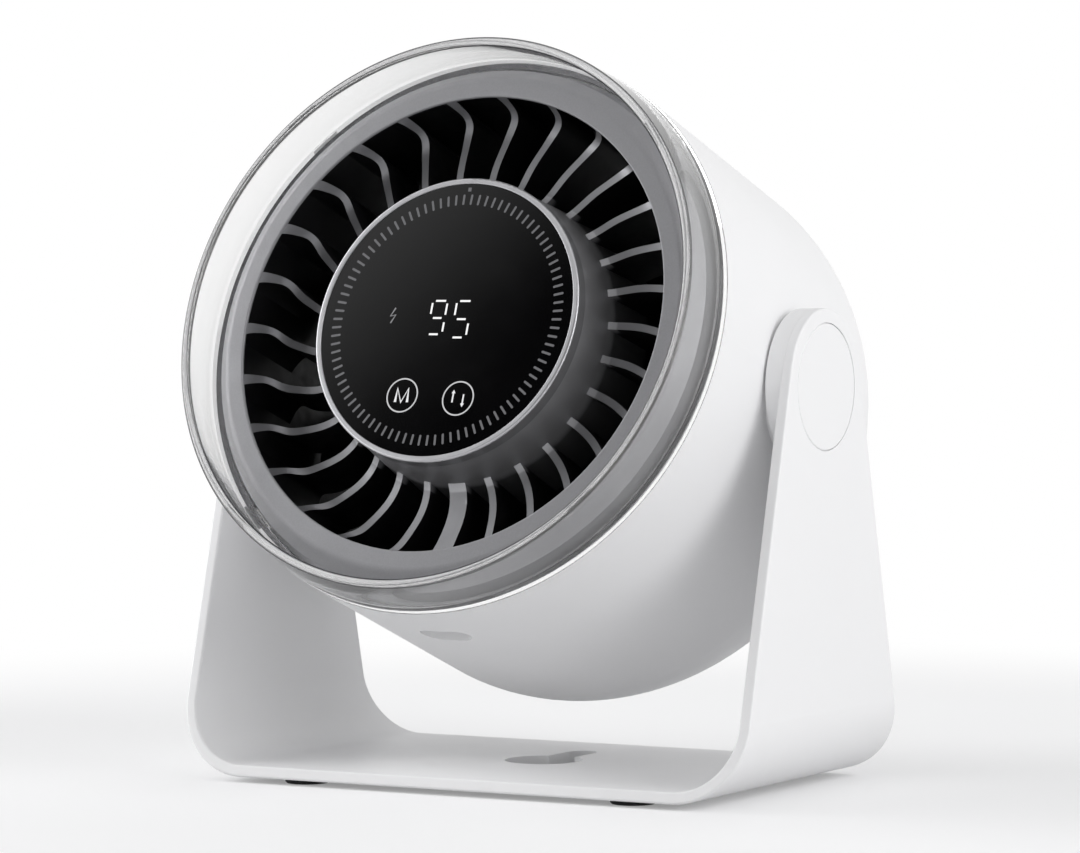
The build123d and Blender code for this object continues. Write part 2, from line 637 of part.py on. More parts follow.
def rear_housing():
    """White drum with pivot pads, grille and intake ledges, and the charging recess."""
    body = housing_shell()
    body += tube(dome_radius(LEDGE_FRONT, WALL) + WALL / 3, LEDGE_IN_R, LEDGE_BACK, LEDGE_FRONT)
    grille_ledge_r = DUCT_OUT_R + SHROUD_FIT + DUCT_T + SHROUD_FIT
    body += tube(BORE_FRONT_R + WALL / 2, grille_ledge_r, FLANGE_BACK - LEDGE_T, FLANGE_BACK)
    for side in SIDES:
        body += along_x(disc(PAD_R, BORE_FRONT_R, PAD_X), side)
        body += along_x(disc(HUB_FLANGE_R + WALL / 2, INNER_PAD_X, DRUM_FRONT_R - WALL / 2), side)
    grip_end = INNER_PAD_X + HUB_SCREW_GRIP + HUB_SCREW_END_GAP
    for side in SIDES:
        body -= along_x(hole(HUB_BODY_R + SCREW_FIT, INNER_PAD_X, PAD_X), side)
        for x, y in hub_screw_spots():
            body -= along_x(disc(SCREW_HOLE_R, HUB_BACK_X, grip_end, x, y), side)
    floor = (PORT_RECESS[0] + PORT_RIM[0], PORT_RECESS[1] + PORT_RIM[1])
    opening = (SOCKET[0] + 2 * SOCKET_FIT, SOCKET[1] + 2 * SOCKET_FIT)
    body += down_port(stadium(floor, PORT_BACK, PORT_ROOT))
    body += down_port(board_guides())
    body -= down_port(charge_board_place(GUIDE_FIT))
    body -= down_port(stadium(PORT_RECESS, PORT_FACE, PORT_FACE + 4 * THROUGH))
    body -= down_port(stadium(opening, PORT_BACK - 2 * THROUGH, PORT_FACE + THROUGH))
    for x, y in intake_screw_spots():
        body -= hole(SCREW_HOLE_R, LEDGE_BACK, LEDGE_FRONT, x, y)
    return body - lug_ways()


def intake_shell():
    """Dome cap with a rim wall that stands on the housing's ledge."""
    rim = INTAKE_R - INTAKE_GAP
    outer = cap_curve(rim, 0.0)
    inner = cap_curve(rim - WALL, WALL)
    return turned_curves(
        outer,
        Line(outer @ 1, (rim, LEDGE_BACK)),
        Line((rim, LEDGE_BACK), (rim - WALL, LEDGE_BACK)),
        Line((rim - WALL, LEDGE_BACK), inner @ 1),
        inner,
        Line(inner @ 0, outer @ 0),
    )


def intake_slots():
    """Rings of slots, parted by straight ribs."""
    sketch = Sketch()
    for k in range(INTAKE_SLOTS):
        inner = INTAKE_DISC_R + k * (INTAKE_SLOT_W + INTAKE_BAR_W)
        sketch += Circle(inner + INTAKE_SLOT_W) - Circle(inner)
    for k in range(INTAKE_RIBS // 2):
        sketch -= turn(INTAKE_RIBS, k) * Rectangle(2 * INTAKE_R, INTAKE_RIB_W)
    return extrude(Pos(0, 0, DOME_END - THROUGH) * sketch, DOME_DEPTH / 2)


def intake_grille():
    """Slotted inlet cover: dome cap, middle disc with the battery's seat, and four screw bosses."""
    body = intake_shell()
    seat_r = dome_radius(POD_SEAT, WALL)
    crown = dome_height(0, WALL) - WALL / 2
    bevel_in, bevel_back = POD_SEAT_BEVEL
    body += turned((0, POD_SEAT), (seat_r, POD_SEAT), (seat_r - bevel_in, POD_SEAT - bevel_back),
                   (0, crown))
    spots = intake_screw_spots()
    for x, y in spots:
        body += disc(SCREW_HEAD_R + SCREW_WELL_WALL, INTAKE_SCREW_SEAT - SCREW_WELL_WALL, LEDGE_BACK, x, y)
    body -= intake_slots()
    well_r = SCREW_HEAD_R + SCREW_WELL_FIT
    for x, y in spots:
        body -= disc(well_r, INTAKE_SCREW_SEAT - 3 * SCREW_WELL, INTAKE_SCREW_SEAT, x, y)
        body -= hole(SCREW_HOLE_R, INTAKE_SCREW_SEAT, LEDGE_BACK, x, y)
    for y in (-POD_EAR_Y, POD_EAR_Y):
        body -= disc(SCREW_HOLE_R, POD_SEAT - POD_SCREW_DEPTH, POD_SEAT + THROUGH, 0, y)
    return body


def intake_screws():
    """Four screws that hold the intake grille to the ledge, sunk in wells."""
    one = Rot(180, 0, 0) * screw(LEDGE_FRONT - INTAKE_SCREW_SEAT)
    return placed(one, intake_screw_spots(), INTAKE_SCREW_SEAT)


# ---------------------------------------------------------------- clear ring
def clear_ring():
    """Clear collar of even wall with a rounded lip, a spigot into the housing and four lugs."""
    lip = RING_T / 2
    back = DRUM_FRONT + RING_SEAM
    shoulder = (DRUM_FRONT_R - RING_T, DRUM_FRONT + RING_SHOULDER)
    front_in = RING_FRONT_R - RING_T
    spigot_in = SPIGOT_R - SPIGOT_T
    lip_arc = ThreePointArc((front_in, RING_FRONT - lip), (RING_FRONT_R - lip, RING_FRONT),
                            (RING_FRONT_R, RING_FRONT - lip))
    ring = turned_curves(
        Polyline((RING_FRONT_R, RING_FRONT - lip), (DRUM_FRONT_R, back), (SPIGOT_R, back),
                 (SPIGOT_R, FLANGE_FRONT), (spigot_in, FLANGE_FRONT), (spigot_in, DRUM_FRONT),
                 shoulder, (front_in, RING_FRONT - lip)),
        lip_arc,
    )
    lug = Pos(SPIGOT_R, 0, FLANGE_FRONT + LUG_T) * Box(2 * LUG_HEIGHT, LUG_WIDTH, LUG_T)
    for k in range(LUG_COUNT):
        ring += turn(LUG_COUNT, k, LUG_START) * lug
    return ring


# ---------------------------------------------------------------- bezel and front grille
def front_bezel():
    """Flat band with a bevelled outer side, a thin lip over the vanes' ends and a skirt."""
    edge = (BEZEL_IN_R, BEZEL_FRONT)
    knee = (BEZEL_IN_R + BEZEL_BAND_W, BEZEL_FRONT - BEZEL_BAND_DROP)
    skirt_in = BEZEL_OUT_R - BEZEL_T
    outline = [edge, knee, (BEZEL_OUT_R, BEZEL_SHOULDER), (BEZEL_OUT_R, FLANGE_FRONT),
               (skirt_in, FLANGE_FRONT), (skirt_in, BEZEL_SHOULDER - BEZEL_SKIRT_RISE),
               (DUCT_OUT_R, DUCT_TOP), (DUCT_R, DUCT_TOP), (BEZEL_IN_R, LIP_BACK)]
    return turned_rounded(outline, [(edge, BEZEL_LIP_ROUND), (knee, BEZEL_KNEE_ROUND)])


def duct_point(share, angle):
    """Point on the face at a share of the way from hub to duct."""
    radius = VANE_IN_R + share * (VANE_OUT_R - VANE_IN_R)
    return radius * cos(radians(angle)), radius * sin(radians(angle))


def vane_outline(width):
    """Face of one vane: the vane's line, half a width to either side."""
    line = [duct_point(share, angle) for share, angle in VANE_LINE]
    left, right = [], []
    for k, (x, y) in enumerate(line):
        x0, y0 = line[max(k - 1, 0)]
        x1, y1 = line[min(k + 1, len(line) - 1)]
        run = hypot(x1 - x0, y1 - y0)
        aside_x = -(y1 - y0) / run * width / 2
        aside_y = (x1 - x0) / run * width / 2
        left.append((x + aside_x, y + aside_y))
        right.append((x - aside_x, y - aside_y))
    return make_face([Spline(*left), Line(left[-1], right[-1]), Spline(*right), Line(right[0], left[0])])


def vane_bowl():
    """Space of the duct behind the bowl that the vanes' front edges lie on, and under the bezel."""
    reach = VANE_OUT_R - VANE_IN_R
    points = [(VANE_IN_R + share * reach, BEZEL_FRONT - depth) for share, depth in VANE_BOWL]
    edge = Spline(*points)
    bowl = turned_curves(
        edge,
        Polyline(edge @ 1, (VANE_OUT_R, VANE_BACK), (VANE_IN_R, VANE_BACK), edge @ 0),
    )
    under_lip = turned((BEZEL_IN_R - THROUGH, BEZEL_FRONT), (BEZEL_IN_R - THROUGH, LIP_BACK),
                       (BEZEL_IN_R, LIP_BACK), (DUCT_R, DUCT_TOP), (DUCT_OUT_R, DUCT_TOP),
                       (DUCT_OUT_R, BEZEL_FRONT))
    return bowl - under_lip


def vanes():
    """All guide vanes, evenly spaced, with the wide one at the bottom of the face."""
    bowl = vane_bowl()
    start = Pos(0, 0, VANE_BACK)
    thin = extrude(start * vane_outline(VANE_W), GRILLE_DEPTH) & bowl
    wide = extrude(start * vane_outline(WIRE_VANE_W), GRILLE_DEPTH) & bowl
    bottom = VANE_COUNT * 3 // 4
    return [turn(VANE_COUNT, k) * (wide if k == bottom else thin) for k in range(VANE_COUNT)]


def hub_cup():
    """Flared cup behind the display and the space inside it."""
    outer = turned((0, VANE_BACK), (HUB_BACK_R, VANE_BACK), (HUB_FRONT_R, DISPLAY_SEAT), (0, DISPLAY_SEAT))
    mouth = DISPLAY_SEAT + THROUGH
    back_r, front_r = HUB_BACK_R - HUB_WALL, HUB_FRONT_R - HUB_WALL
    return outer, turned((0, HUB_FLOOR), (back_r, HUB_FLOOR), (front_r, mouth), (0, mouth))


def display_posts():
    return around(*DISPLAY_POSTS)


def control_posts():
    return around(*CONTROL_POSTS)


def motor_spots():
    return around(*MOTOR_SCREWS)


def front_grille():
    """Duct wall with its flange, the guide vanes and the hub cup in one moulding."""
    cup, space = hub_cup()
    duct = turned((DUCT_R, DUCT_BACK), (DUCT_OUT_R, DUCT_BACK), (DUCT_OUT_R, FLANGE_BACK),
                  (FLANGE_R, FLANGE_BACK), (FLANGE_R, FLANGE_FRONT), (DUCT_OUT_R, FLANGE_FRONT),
                  (DUCT_OUT_R, DUCT_TOP), (DUCT_R, DUCT_TOP))
    body = (cup + duct + vanes()) - space
    for spots, top in ((display_posts(), DISPLAY_BOARD_BACK), (control_posts(), CONTROL_BOARD_BACK)):
        for x, y in spots:
            body += disc(POST_R, HUB_FLOOR - HUB_FLOOR_T / 2, top, x, y)
            body -= disc(SCREW_HOLE_R, top - POST_BORE, top + THROUGH, x, y)
    for x, y in motor_spots():
        body -= hole(SCREW_HOLE_R, VANE_BACK, HUB_FLOOR, x, y)
    return body - hole(TUBE_R + TUBE_CLEARANCE, VANE_BACK, HUB_FLOOR)


# ---------------------------------------------------------------- display
def display_rim():
    """Light ring round the display, rounded outside, with a lip that carries the lens."""
    inner = DISPLAY_R - RIM_W
    edge, inner_edge = (DISPLAY_R, DISPLAY_FRONT), (inner, DISPLAY_FRONT)
    outline = [edge, (DISPLAY_R, DISPLAY_SEAT), (inner - RIM_LIP, DISPLAY_SEAT),
               (inner - RIM_LIP, LENS_BACK), (inner, LENS_BACK), inner_edge]
    return turned_rounded(outline, [(edge, RIM_ROUND), (inner_edge, RIM_INNER_ROUND)])


def display_lens():
    return disc(DISPLAY_R - RIM_W - LENS_GAP, LENS_BACK, LENS_FRONT)


def display_board():
    board = disc(DISPLAY_BOARD_R, DISPLAY_BOARD_BACK, BOARD_TOP)
    for x, y in display_posts():
        board -= hole(SCREW_HOLE_R, DISPLAY_BOARD_BACK, BOARD_TOP, x, y)
    return board


def segment_block():
    """Reflector block of the two digits, from the board to the lens."""
    block = Pos(SEGMENTS_X, 0, (BOARD_TOP + LENS_BACK) / 2) * Box(*SEGMENTS, LIGHT_SPACE)
    return fillet(block.edges().filter_by(Axis.Z), SEGMENTS_ROUND)


def tick_light_ring():
    """Light guide behind the ring of ticks."""
    return tube(TICK_RING_R, TICK_RING_R - TICK_RING_W, BOARD_TOP, LENS_BACK)


def touch_pads():
    """Soft conductive pads between the board and the lens under the two touch marks."""
    return placed(disc(TOUCH_PAD_R, BOARD_TOP, LENS_BACK), TOUCH_PADS)


def control_board():
    """Motor and charging board with its chip and coil."""
    top = CONTROL_BOARD_BACK + BOARD_T
    board = disc(CONTROL_BOARD_R, CONTROL_BOARD_BACK, top)
    board += Pos(*CHIP_AT, top + CHIP[2] / 2) * Box(*CHIP)
    board += disc(COIL_R, top, top + COIL_T, *COIL_AT)
    for x, y in control_posts():
        board -= hole(SCREW_HOLE_R, CONTROL_BOARD_BACK, top, x, y)
    return board


def board_screws():
    one = screw(BOARD_T + POST_BORE - POST_END_GAP)
    low = placed(one, control_posts(), CONTROL_BOARD_BACK + BOARD_T)
    high = placed(one, display_posts(), BOARD_TOP)
    return Compound(list(low.solids()) + list(high.solids()))


# ---------------------------------------------------------------- motor
def motor_base():
    """Flange under the cup's floor with the bearing tube that carries the stator."""
    body = turned((BEARING_R, TUBE_BACK), (TUBE_R, TUBE_BACK), (TUBE_R, MOTOR_FRONT),
                  (MOTOR_FLANGE_R, MOTOR_FRONT), (MOTOR_FLANGE_R, VANE_BACK), (BEARING_R, VANE_BACK))
    for x, y in motor_spots():
        body -= hole(SCREW_HOLE_R, MOTOR_FRONT, VANE_BACK, x, y)
    return body


def motor_screws():
    one = screw(HUB_FLOOR_T + MOTOR_FLANGE_T)
    return placed(one, motor_spots(), HUB_FLOOR)


def stator_core():
    """Laminated star: a ring on the bearing tube and nine teeth with wide tips."""
    core = Circle(TUBE_R + STATOR_YOKE)
    stem = Pos((STATOR_R + TUBE_R) / 2, 0) * Rectangle(STATOR_R - TUBE_R - TOOTH_TIP_T, TOOTH_W)
    tips = Circle(STATOR_R) - Circle(STATOR_R - TOOTH_TIP_T)
    slot = Pos(STATOR_R, 0) * Rectangle(4 * TOOTH_TIP_T, TOOTH_SLOT)
    for k in range(TOOTH_COUNT):
        core += turn(TOOTH_COUNT, k) * stem
        tips -= turn(TOOTH_COUNT, k + 0.5) * slot
    core = core + tips - Circle(TUBE_R)
    return extrude(Pos(0, 0, STATOR_BACK) * core, STATOR_T)


def stator_windings():
    """One coil round each tooth, standing clear of the lamination's faces."""
    inner = TUBE_R + STATOR_YOKE + COIL_END_GAP
    outer = STATOR_R - TOOTH_TIP_T - COIL_END_GAP
    place = Pos((inner + outer) / 2, 0, STATOR_BACK + STATOR_T / 2)
    coil = place * Box(outer - inner, COIL_W, STATOR_T + 2 * COIL_OVERHANG)
    coil -= place * Box(outer - inner + THROUGH, TOOTH_W + 2 * COIL_FIT, STATOR_T + 2 * COIL_FIT)
    return Compound([turn(TOOTH_COUNT, k) * coil for k in range(TOOTH_COUNT)])


def motor_bearings():
    """Two ball bearings in the ends of the tube."""
    places = (TUBE_BACK, VANE_BACK - BEARING_W - BEARING_INSET)
    outer, bore = BEARING_R - PRESS_GAP / 2, SHAFT_R + PRESS_GAP
    return Compound([tube(outer, bore, z, z + BEARING_W) for z in places])


def rotor_bell():
    """Steel cup round the stator, pressed on the shaft."""
    rim = STATOR_BACK + STATOR_T + BELL_LIP
    floor = BELL_BACK + BELL_T
    boss = BELL_BACK + BELL_BOSS_H
    boss_r = SHAFT_R + BELL_BOSS_T
    return turned((SHAFT_R, BELL_BACK), (BELL_R, BELL_BACK), (BELL_R, rim), (BELL_IN_R, rim),
                  (BELL_IN_R, floor), (boss_r, floor), (boss_r, boss), (SHAFT_R, boss))


def rotor_magnets():
    low = STATOR_BACK - MAGNET_OVERLAP
    return tube(BELL_IN_R, MAGNET_R, low, low + STATOR_T + 2 * MAGNET_OVERLAP)


def motor_shaft():
    """Ground shaft with a groove for its clip at the front."""
    front = VANE_BACK + SHAFT_NOSE
    groove = front - CLIP_SETBACK
    groove_r = SHAFT_R - CLIP_GROOVE
    groove_top = groove + CLIP_T + 2 * CLIP_FIT
    return turned((0, SHAFT_BACK), (SHAFT_R, SHAFT_BACK), (SHAFT_R, groove), (groove_r, groove),
                  (groove_r, groove_top), (SHAFT_R, groove_top), (SHAFT_R, front), (0, front))


def shaft_clip():
    """Open ring in the shaft's groove."""
    low = VANE_BACK + SHAFT_NOSE - CLIP_SETBACK + CLIP_FIT
    inner = SHAFT_R - CLIP_GROOVE + PRESS_GAP
    mouth = Pos(inner + CLIP_W / 2, 0) * Rectangle(2 * CLIP_W, SHAFT_R)
    ring = Circle(inner + CLIP_W) - Circle(inner) - mouth
    return extrude(Pos(0, 0, low) * ring, CLIP_T)


# ---------------------------------------------------------------- impeller
def blade_section(radius, chord, stagger):
    """Bowed blade section, drawn flat across the given radius."""
    half = chord / 2
    bow = chord * BLADE_BOW
    middle = (IMPELLER_FRONT + IMPELLER_BACK) / 2 + BLADE_RISE
    plane = Plane(origin=(radius, 0, middle), x_dir=(0, 1, 0), z_dir=(1, 0, 0))
    back = ThreePointArc((-half, 0), (0, bow), (half, 0))
    belly = ThreePointArc((-half, 0), (0, bow - BLADE_T), (half, 0))
    return plane * Rot(0, 0, stagger) * make_face([back, belly])


def blade():
    """Twisted blade, lofted from inside the hub's wall to past the tip, and trimmed to the duct."""
    root = blade_section(IMPELLER_HUB_R - IMPELLER_WALL, *BLADE_ROOT)
    tip = blade_section(IMPELLER_R + 2 * BLADE_T, *BLADE_TIP)
    trim = tube(IMPELLER_R, IMPELLER_HUB_R - IMPELLER_WALL / 2, IMPELLER_BACK, IMPELLER_FRONT - BLADE_RISE)
    return loft([root, tip]) & trim


def impeller_hub():
    """Hollow hub with a rounded back and a socket over the rotor bell."""
    low, high = IMPELLER_BACK, IMPELLER_FRONT
    skin_r = IMPELLER_HUB_R - IMPELLER_WALL
    socket_r = BELL_R + SCREW_FIT
    socket_out = socket_r + IMPELLER_WALL
    socket_top = high - BELL_SOCKET
    shoulder = socket_out + IMPELLER_WALL
    floor = low + IMPELLER_FLOOR
    bore_r = SHAFT_R + PRESS_GAP
    seat = BELL_BACK - SCREW_FIT
    bulge_out, bulge_back = IMPELLER_BULGE
    waist_r = (IMPELLER_HUB_R + shoulder) / 2 + bulge_out
    waist = (BELL_BACK + low) / 2 - bulge_back
    inner_waist = (waist_r - IMPELLER_WALL, waist + IMPELLER_WALL / 2)
    return turned_curves(
        Line((IMPELLER_HUB_R, high), (IMPELLER_HUB_R, BELL_BACK)),
        ThreePointArc((IMPELLER_HUB_R, BELL_BACK), (waist_r, waist), (shoulder, low)),
        Polyline((shoulder, low), (bore_r, low), (bore_r, seat), (socket_r, seat), (socket_r, socket_top),
                 (socket_out, socket_top), (socket_out, floor), (shoulder, floor)),
        ThreePointArc((shoulder, floor), inner_waist, (skin_r, BELL_BACK)),
        Polyline((skin_r, BELL_BACK), (skin_r, high), (IMPELLER_HUB_R, high)),
    )


def impeller():
    """Nine twisted blades on the hollow hub."""
    one = blade()
    return impeller_hub() + [turn(BLADE_COUNT, k) * one for k in range(BLADE_COUNT)]


def impeller_nut():
    """Hexagon nut that holds the impeller on the shaft."""
    nut = RegularPolygon(NUT_R, 6) - Circle(SHAFT_R + PRESS_GAP)
    return extrude(Pos(0, 0, IMPELLER_BACK - NUT_T) * nut, NUT_T)


# ---------------------------------------------------------------- duct shroud
def duct_shroud():
    """Duct round the impeller: a socket on the grille's duct wall and a flared mouth."""
    flare_r = dome_radius(SHROUD_BACK, WALL) - MOUTH_GAP
    lip = SHROUD_BACK + DUCT_T
    throat = SHROUD_BACK + SHROUD_THROAT
    middle = SHROUD_BACK + SHROUD_THROAT / 2
    socket_in = DUCT_OUT_R + SHROUD_FIT
    socket_out = socket_in + DUCT_T
    top = DUCT_BACK + SHROUD_SOCKET
    root = DUCT_BACK - SHROUD_SOCKET
    bow_in, bow_back = SHROUD_BOW_IN
    return turned_curves(
        Line((flare_r, SHROUD_BACK), (flare_r, lip)),
        ThreePointArc((flare_r, lip), (DUCT_OUT_R + SHROUD_BOW, middle), (DUCT_OUT_R, throat)),
        Polyline((DUCT_OUT_R, throat), (DUCT_OUT_R, root), (socket_out, root + DUCT_T), (socket_out, top),
                 (socket_in, top), (socket_in, DUCT_BACK), (DUCT_R, DUCT_BACK), (DUCT_R, throat)),
        ThreePointArc((DUCT_R, throat), (DUCT_R + bow_in, middle - bow_back),
                      (flare_r - DUCT_T, SHROUD_BACK)),
        Line((flare_r - DUCT_T, SHROUD_BACK), (flare_r, SHROUD_BACK)),
    )


# ---------------------------------------------------------------- battery
def battery_pod():
    """Slot-shaped case over the two cells, screwed by two ears to the intake grille's disc."""
    case = extrude(Pos(0, 0, POD_SEAT) * SlotCenterToCenter(CELL_SPACING, 2 * (POD_BORE_R + POD_WALL)),
                   POD_FRONT - POD_SEAT)
    for y in (-POD_EAR_Y, POD_EAR_Y):
        case += disc(POD_EAR_R, POD_SEAT, POD_SEAT + POD_EAR_T, 0, y)
        web = Box(2 * POD_EAR_R, abs(y) * POD_EAR_WEB, POD_EAR_T)
        case += Pos(0, y * (1 - POD_EAR_WEB / 2), POD_SEAT + POD_EAR_T / 2) * web
    room = POD_FRONT - POD_WALL - POD_SEAT + THROUGH
    case -= extrude(Pos(0, 0, POD_SEAT - THROUGH) * SlotCenterToCenter(CELL_SPACING, 2 * POD_BORE_R), room)
    for y in (-POD_EAR_Y, POD_EAR_Y):
        case -= hole(SCREW_HOLE_R, POD_SEAT, POD_SEAT + POD_EAR_T, 0, y)
    return case


def pod_screws():
    spots = [(0, -POD_EAR_Y), (0, POD_EAR_Y)]
    return placed(screw(2 * POD_EAR_T), spots, POD_SEAT + POD_EAR_T)


def cell_back():
    return POD_SEAT + 2 * CONTACT_GAP + CONTACT_T


def battery_cells():
    """Two round cells side by side."""
    low = cell_back()
    high = low + CELL_LENGTH
    edge_r = CELL_R - CELL_ROUND
    cell = turned((0, low), (edge_r, low), (CELL_R, low + CELL_ROUND), (CELL_R, high - CELL_ROUND),
                  (edge_r, high), (0, high))
    return placed(cell, [(side * CELL_SPACING / 2, 0) for side in SIDES])


def battery_contacts():
    """Nickel strips: one across both cells at the front, one behind each at the back."""
    half = CONTACT_T / 2
    front = cell_back() + CELL_LENGTH + half
    back = cell_back() - half
    bridge = Pos(0, 0, front) * Box(CELL_SPACING + CONTACT_TAB, CONTACT_W, CONTACT_T)
    tab = Box(CONTACT_TAB, CONTACT_W, CONTACT_T)
    return Compound([bridge] + [Pos(side * CELL_SPACING / 2, 0, back) * tab for side in SIDES])


# ---------------------------------------------------------------- charging socket
def charge_socket():
    """Steel shell of the charging receptacle with its tongue on the back wall."""
    face = PORT_FACE - SOCKET_SINK
    back = DUCT_OUT_R + SOCKET_GAP
    floor = back + SOCKET_BACK_T
    room = (SOCKET[0] - 2 * SOCKET_WALL, SOCKET[1] - 2 * SOCKET_WALL)
    shell = stadium(SOCKET, back, face) - stadium(room, floor, face + THROUGH)
    tongue_length = face - TONGUE_SETBACK - back
    return down_port(shell + Pos(0, 0, back + tongue_length / 2) * Box(*TONGUE, tongue_length))


def charge_board():
    return down_port(charge_board_place())


# ---------------------------------------------------------------- assembly
STAND_PIECES = [stand_bracket, stand_feet, pivot_caps, friction_discs]
HEAD_PIECES = [
    rear_housing, clear_ring, front_bezel, front_grille, display_rim, display_lens, display_board,
    segment_block, tick_light_ring, touch_pads, control_board, board_screws, motor_base, motor_screws,
    stator_core, stator_windings, motor_bearings, duct_shroud, intake_grille, intake_screws, battery_pod,
    battery_cells, battery_contacts, pod_screws, charge_socket, charge_board, pivot_hubs, hub_screws,
    pivot_washers, pivot_screws, impeller, rotor_bell, rotor_magnets, motor_shaft, shaft_clip, impeller_nut,
]


def build():
    """Every piece in place, by name, with the outline's middle over the origin."""
    pieces = {make.__name__: make() for make in STAND_PIECES}
    pieces.update({make.__name__: HEAD.location * make() for make in HEAD_PIECES})
    boxes = [piece.bounding_box() for piece in pieces.values()]
    middle = (min(b.min.Y for b in boxes) + max(b.max.Y for b in boxes)) / 2
    print(f"tilt axis at y {-middle:.3f}, z {PIVOT_Z:.3f}")
    return {name: Pos(0, -middle, 0) * piece for name, piece in pieces.items()}


os.makedirs("parts", exist_ok=True)
for name, piece in build().items():
    export_step(piece, f"parts/{name}.step")
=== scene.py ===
"""Finishes, display graphics and photo stage for the desk and wall air circulator fan.

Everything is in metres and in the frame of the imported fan. The display graphics are laid out on the
head's own axes in millimetres: x to the right, v up the face, a forward out of the face.
"""
import json
import math

import bmesh
import bpy
from mathutils import Matrix, Vector


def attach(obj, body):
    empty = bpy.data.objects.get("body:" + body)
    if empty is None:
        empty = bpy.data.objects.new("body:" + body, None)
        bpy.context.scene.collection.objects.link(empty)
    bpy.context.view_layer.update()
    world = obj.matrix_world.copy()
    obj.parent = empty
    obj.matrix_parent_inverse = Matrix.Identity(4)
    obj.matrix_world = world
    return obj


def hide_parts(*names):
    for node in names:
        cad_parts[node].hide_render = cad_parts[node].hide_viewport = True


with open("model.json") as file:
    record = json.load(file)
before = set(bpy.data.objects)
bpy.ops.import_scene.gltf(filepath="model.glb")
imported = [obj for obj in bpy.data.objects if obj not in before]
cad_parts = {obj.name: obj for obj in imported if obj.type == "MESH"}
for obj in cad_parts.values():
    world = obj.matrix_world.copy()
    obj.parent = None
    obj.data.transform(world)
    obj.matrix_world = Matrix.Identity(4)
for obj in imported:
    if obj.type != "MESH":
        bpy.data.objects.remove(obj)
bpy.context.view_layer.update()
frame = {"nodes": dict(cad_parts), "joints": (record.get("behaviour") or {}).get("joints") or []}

bl_info = {
    "name": "Air circulator fan",
    "version": (1, 0, 0),
    "blender": (4, 5, 0),
    "location": "3D View > Sidebar > Fan",
    "description": "Finishes, display graphics and photo stage for a desk air circulator fan",
    "category": "Object",
}

MM = 0.001


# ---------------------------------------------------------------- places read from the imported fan
def joint(name):
    """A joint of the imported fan."""
    return next(j for j in frame["joints"] if j["name"] == name)


FACE_AXIS = Vector(joint("impeller_spin")["axis"]).normalized()
UP_THE_FACE = FACE_AXIS.cross(Vector((1, 0, 0)))
PIVOT = Vector(joint("head_tilt")["pos_m"])
HEAD = Matrix.Translation(PIVOT) @ Matrix(((1, 0, 0), UP_THE_FACE, FACE_AXIS)).transposed().to_4x4()


def along_face_axis(node):
    """Lowest and highest distance of a node's points along the head's axis, and its largest radius."""
    back = HEAD.inverted()
    points = [back @ v.co for v in frame["nodes"][node].data.vertices]
    heights = [p.z for p in points]
    return min(heights), max(heights), max(math.hypot(p.x, p.y) for p in points)


RING_BACK, RING_FRONT, RING_R = along_face_axis("clear_ring")
LENS_FRONT = along_face_axis("display_lens")[1]
BEZEL_FRONT = along_face_axis("front_bezel")[1]
RIM_FRONT, RIM_R = along_face_axis("display_rim")[1:]


# ---------------------------------------------------------------- colours
WHITE = (1, 1, 1, 1)


def linear(hex_code):
    """Linear RGBA of an sRGB hex colour."""
    parts = [int(hex_code[k:k + 2], 16) / 255 for k in (0, 2, 4)]
    parts = [p / 12.92 if p <= 0.04045 else ((p + 0.055) / 1.055) ** 2.4 for p in parts]
    return (*parts, 1.0)


def colour_property(name, description, hex_code):
    """A colour that a user may change, from its sRGB hex code."""
    return bpy.props.FloatVectorProperty(
        name=name, description=description, subtype="COLOR", size=4, min=0, max=1, default=linear(hex_code))


def length_property(name, description, mm):
    """A length that a user may change, from its millimetres."""
    return bpy.props.FloatProperty(
        name=name, description=description, unit="LENGTH", subtype="DISTANCE", min=0, default=mm * MM)


# ---------------------------------------------------------------- what a user may change
class FanColours(bpy.types.PropertyGroup):
    """Colours of the fan's mouldings, paint and lit marks, and of the painted light and shade on the grille
    and the rim.
    """

    shell: colour_property("Shell", "White ABS of the drum, its intake, the bracket and the caps", "F0F0F1")
    bezel: colour_property("Bezel", "Silver lacquer of the bezel", "8C8C8F")
    vanes: colour_property("Vanes", "Silver lacquer of the vanes' edges", "959598")
    # The hub's colour is lighter than the vanes' silver as painted light, against the shade in the grille's
    # recess.
    hub: colour_property("Hub", "Silver lacquer of the hub's side, where it lies thicker", "B4B4B7")
    rim: colour_property("Rim", "Pale line round the display", "BABABD")
    # The rim's side colour is darker than its front as painted shade.
    rim_side_shade: colour_property("Rim's side", "Side of the ring round the display", "98989B")
    # The dark parts' colour is also the grille's painted shade, on the vanes' sides and deep in the duct.
    dark: colour_property("Dark parts", "Black nylon of the duct, impeller and vanes' sides", "0D0D0F")
    lens: colour_property("Display", "Smoked acrylic of the display", "050506")
    digits: colour_property("Digits", "Lit digits", "FFFFFF")
    signs: colour_property("Signs", "Lit signs in the touch marks' circles", "ECECEE")
    circles: colour_property("Circles", "Lit circles of the touch marks", "C9C9CB")
    charge: colour_property("Charge mark", "Dim charge mark", "88888B")
    ticks: colour_property("Ticks", "Dim ring of ticks", "606063")


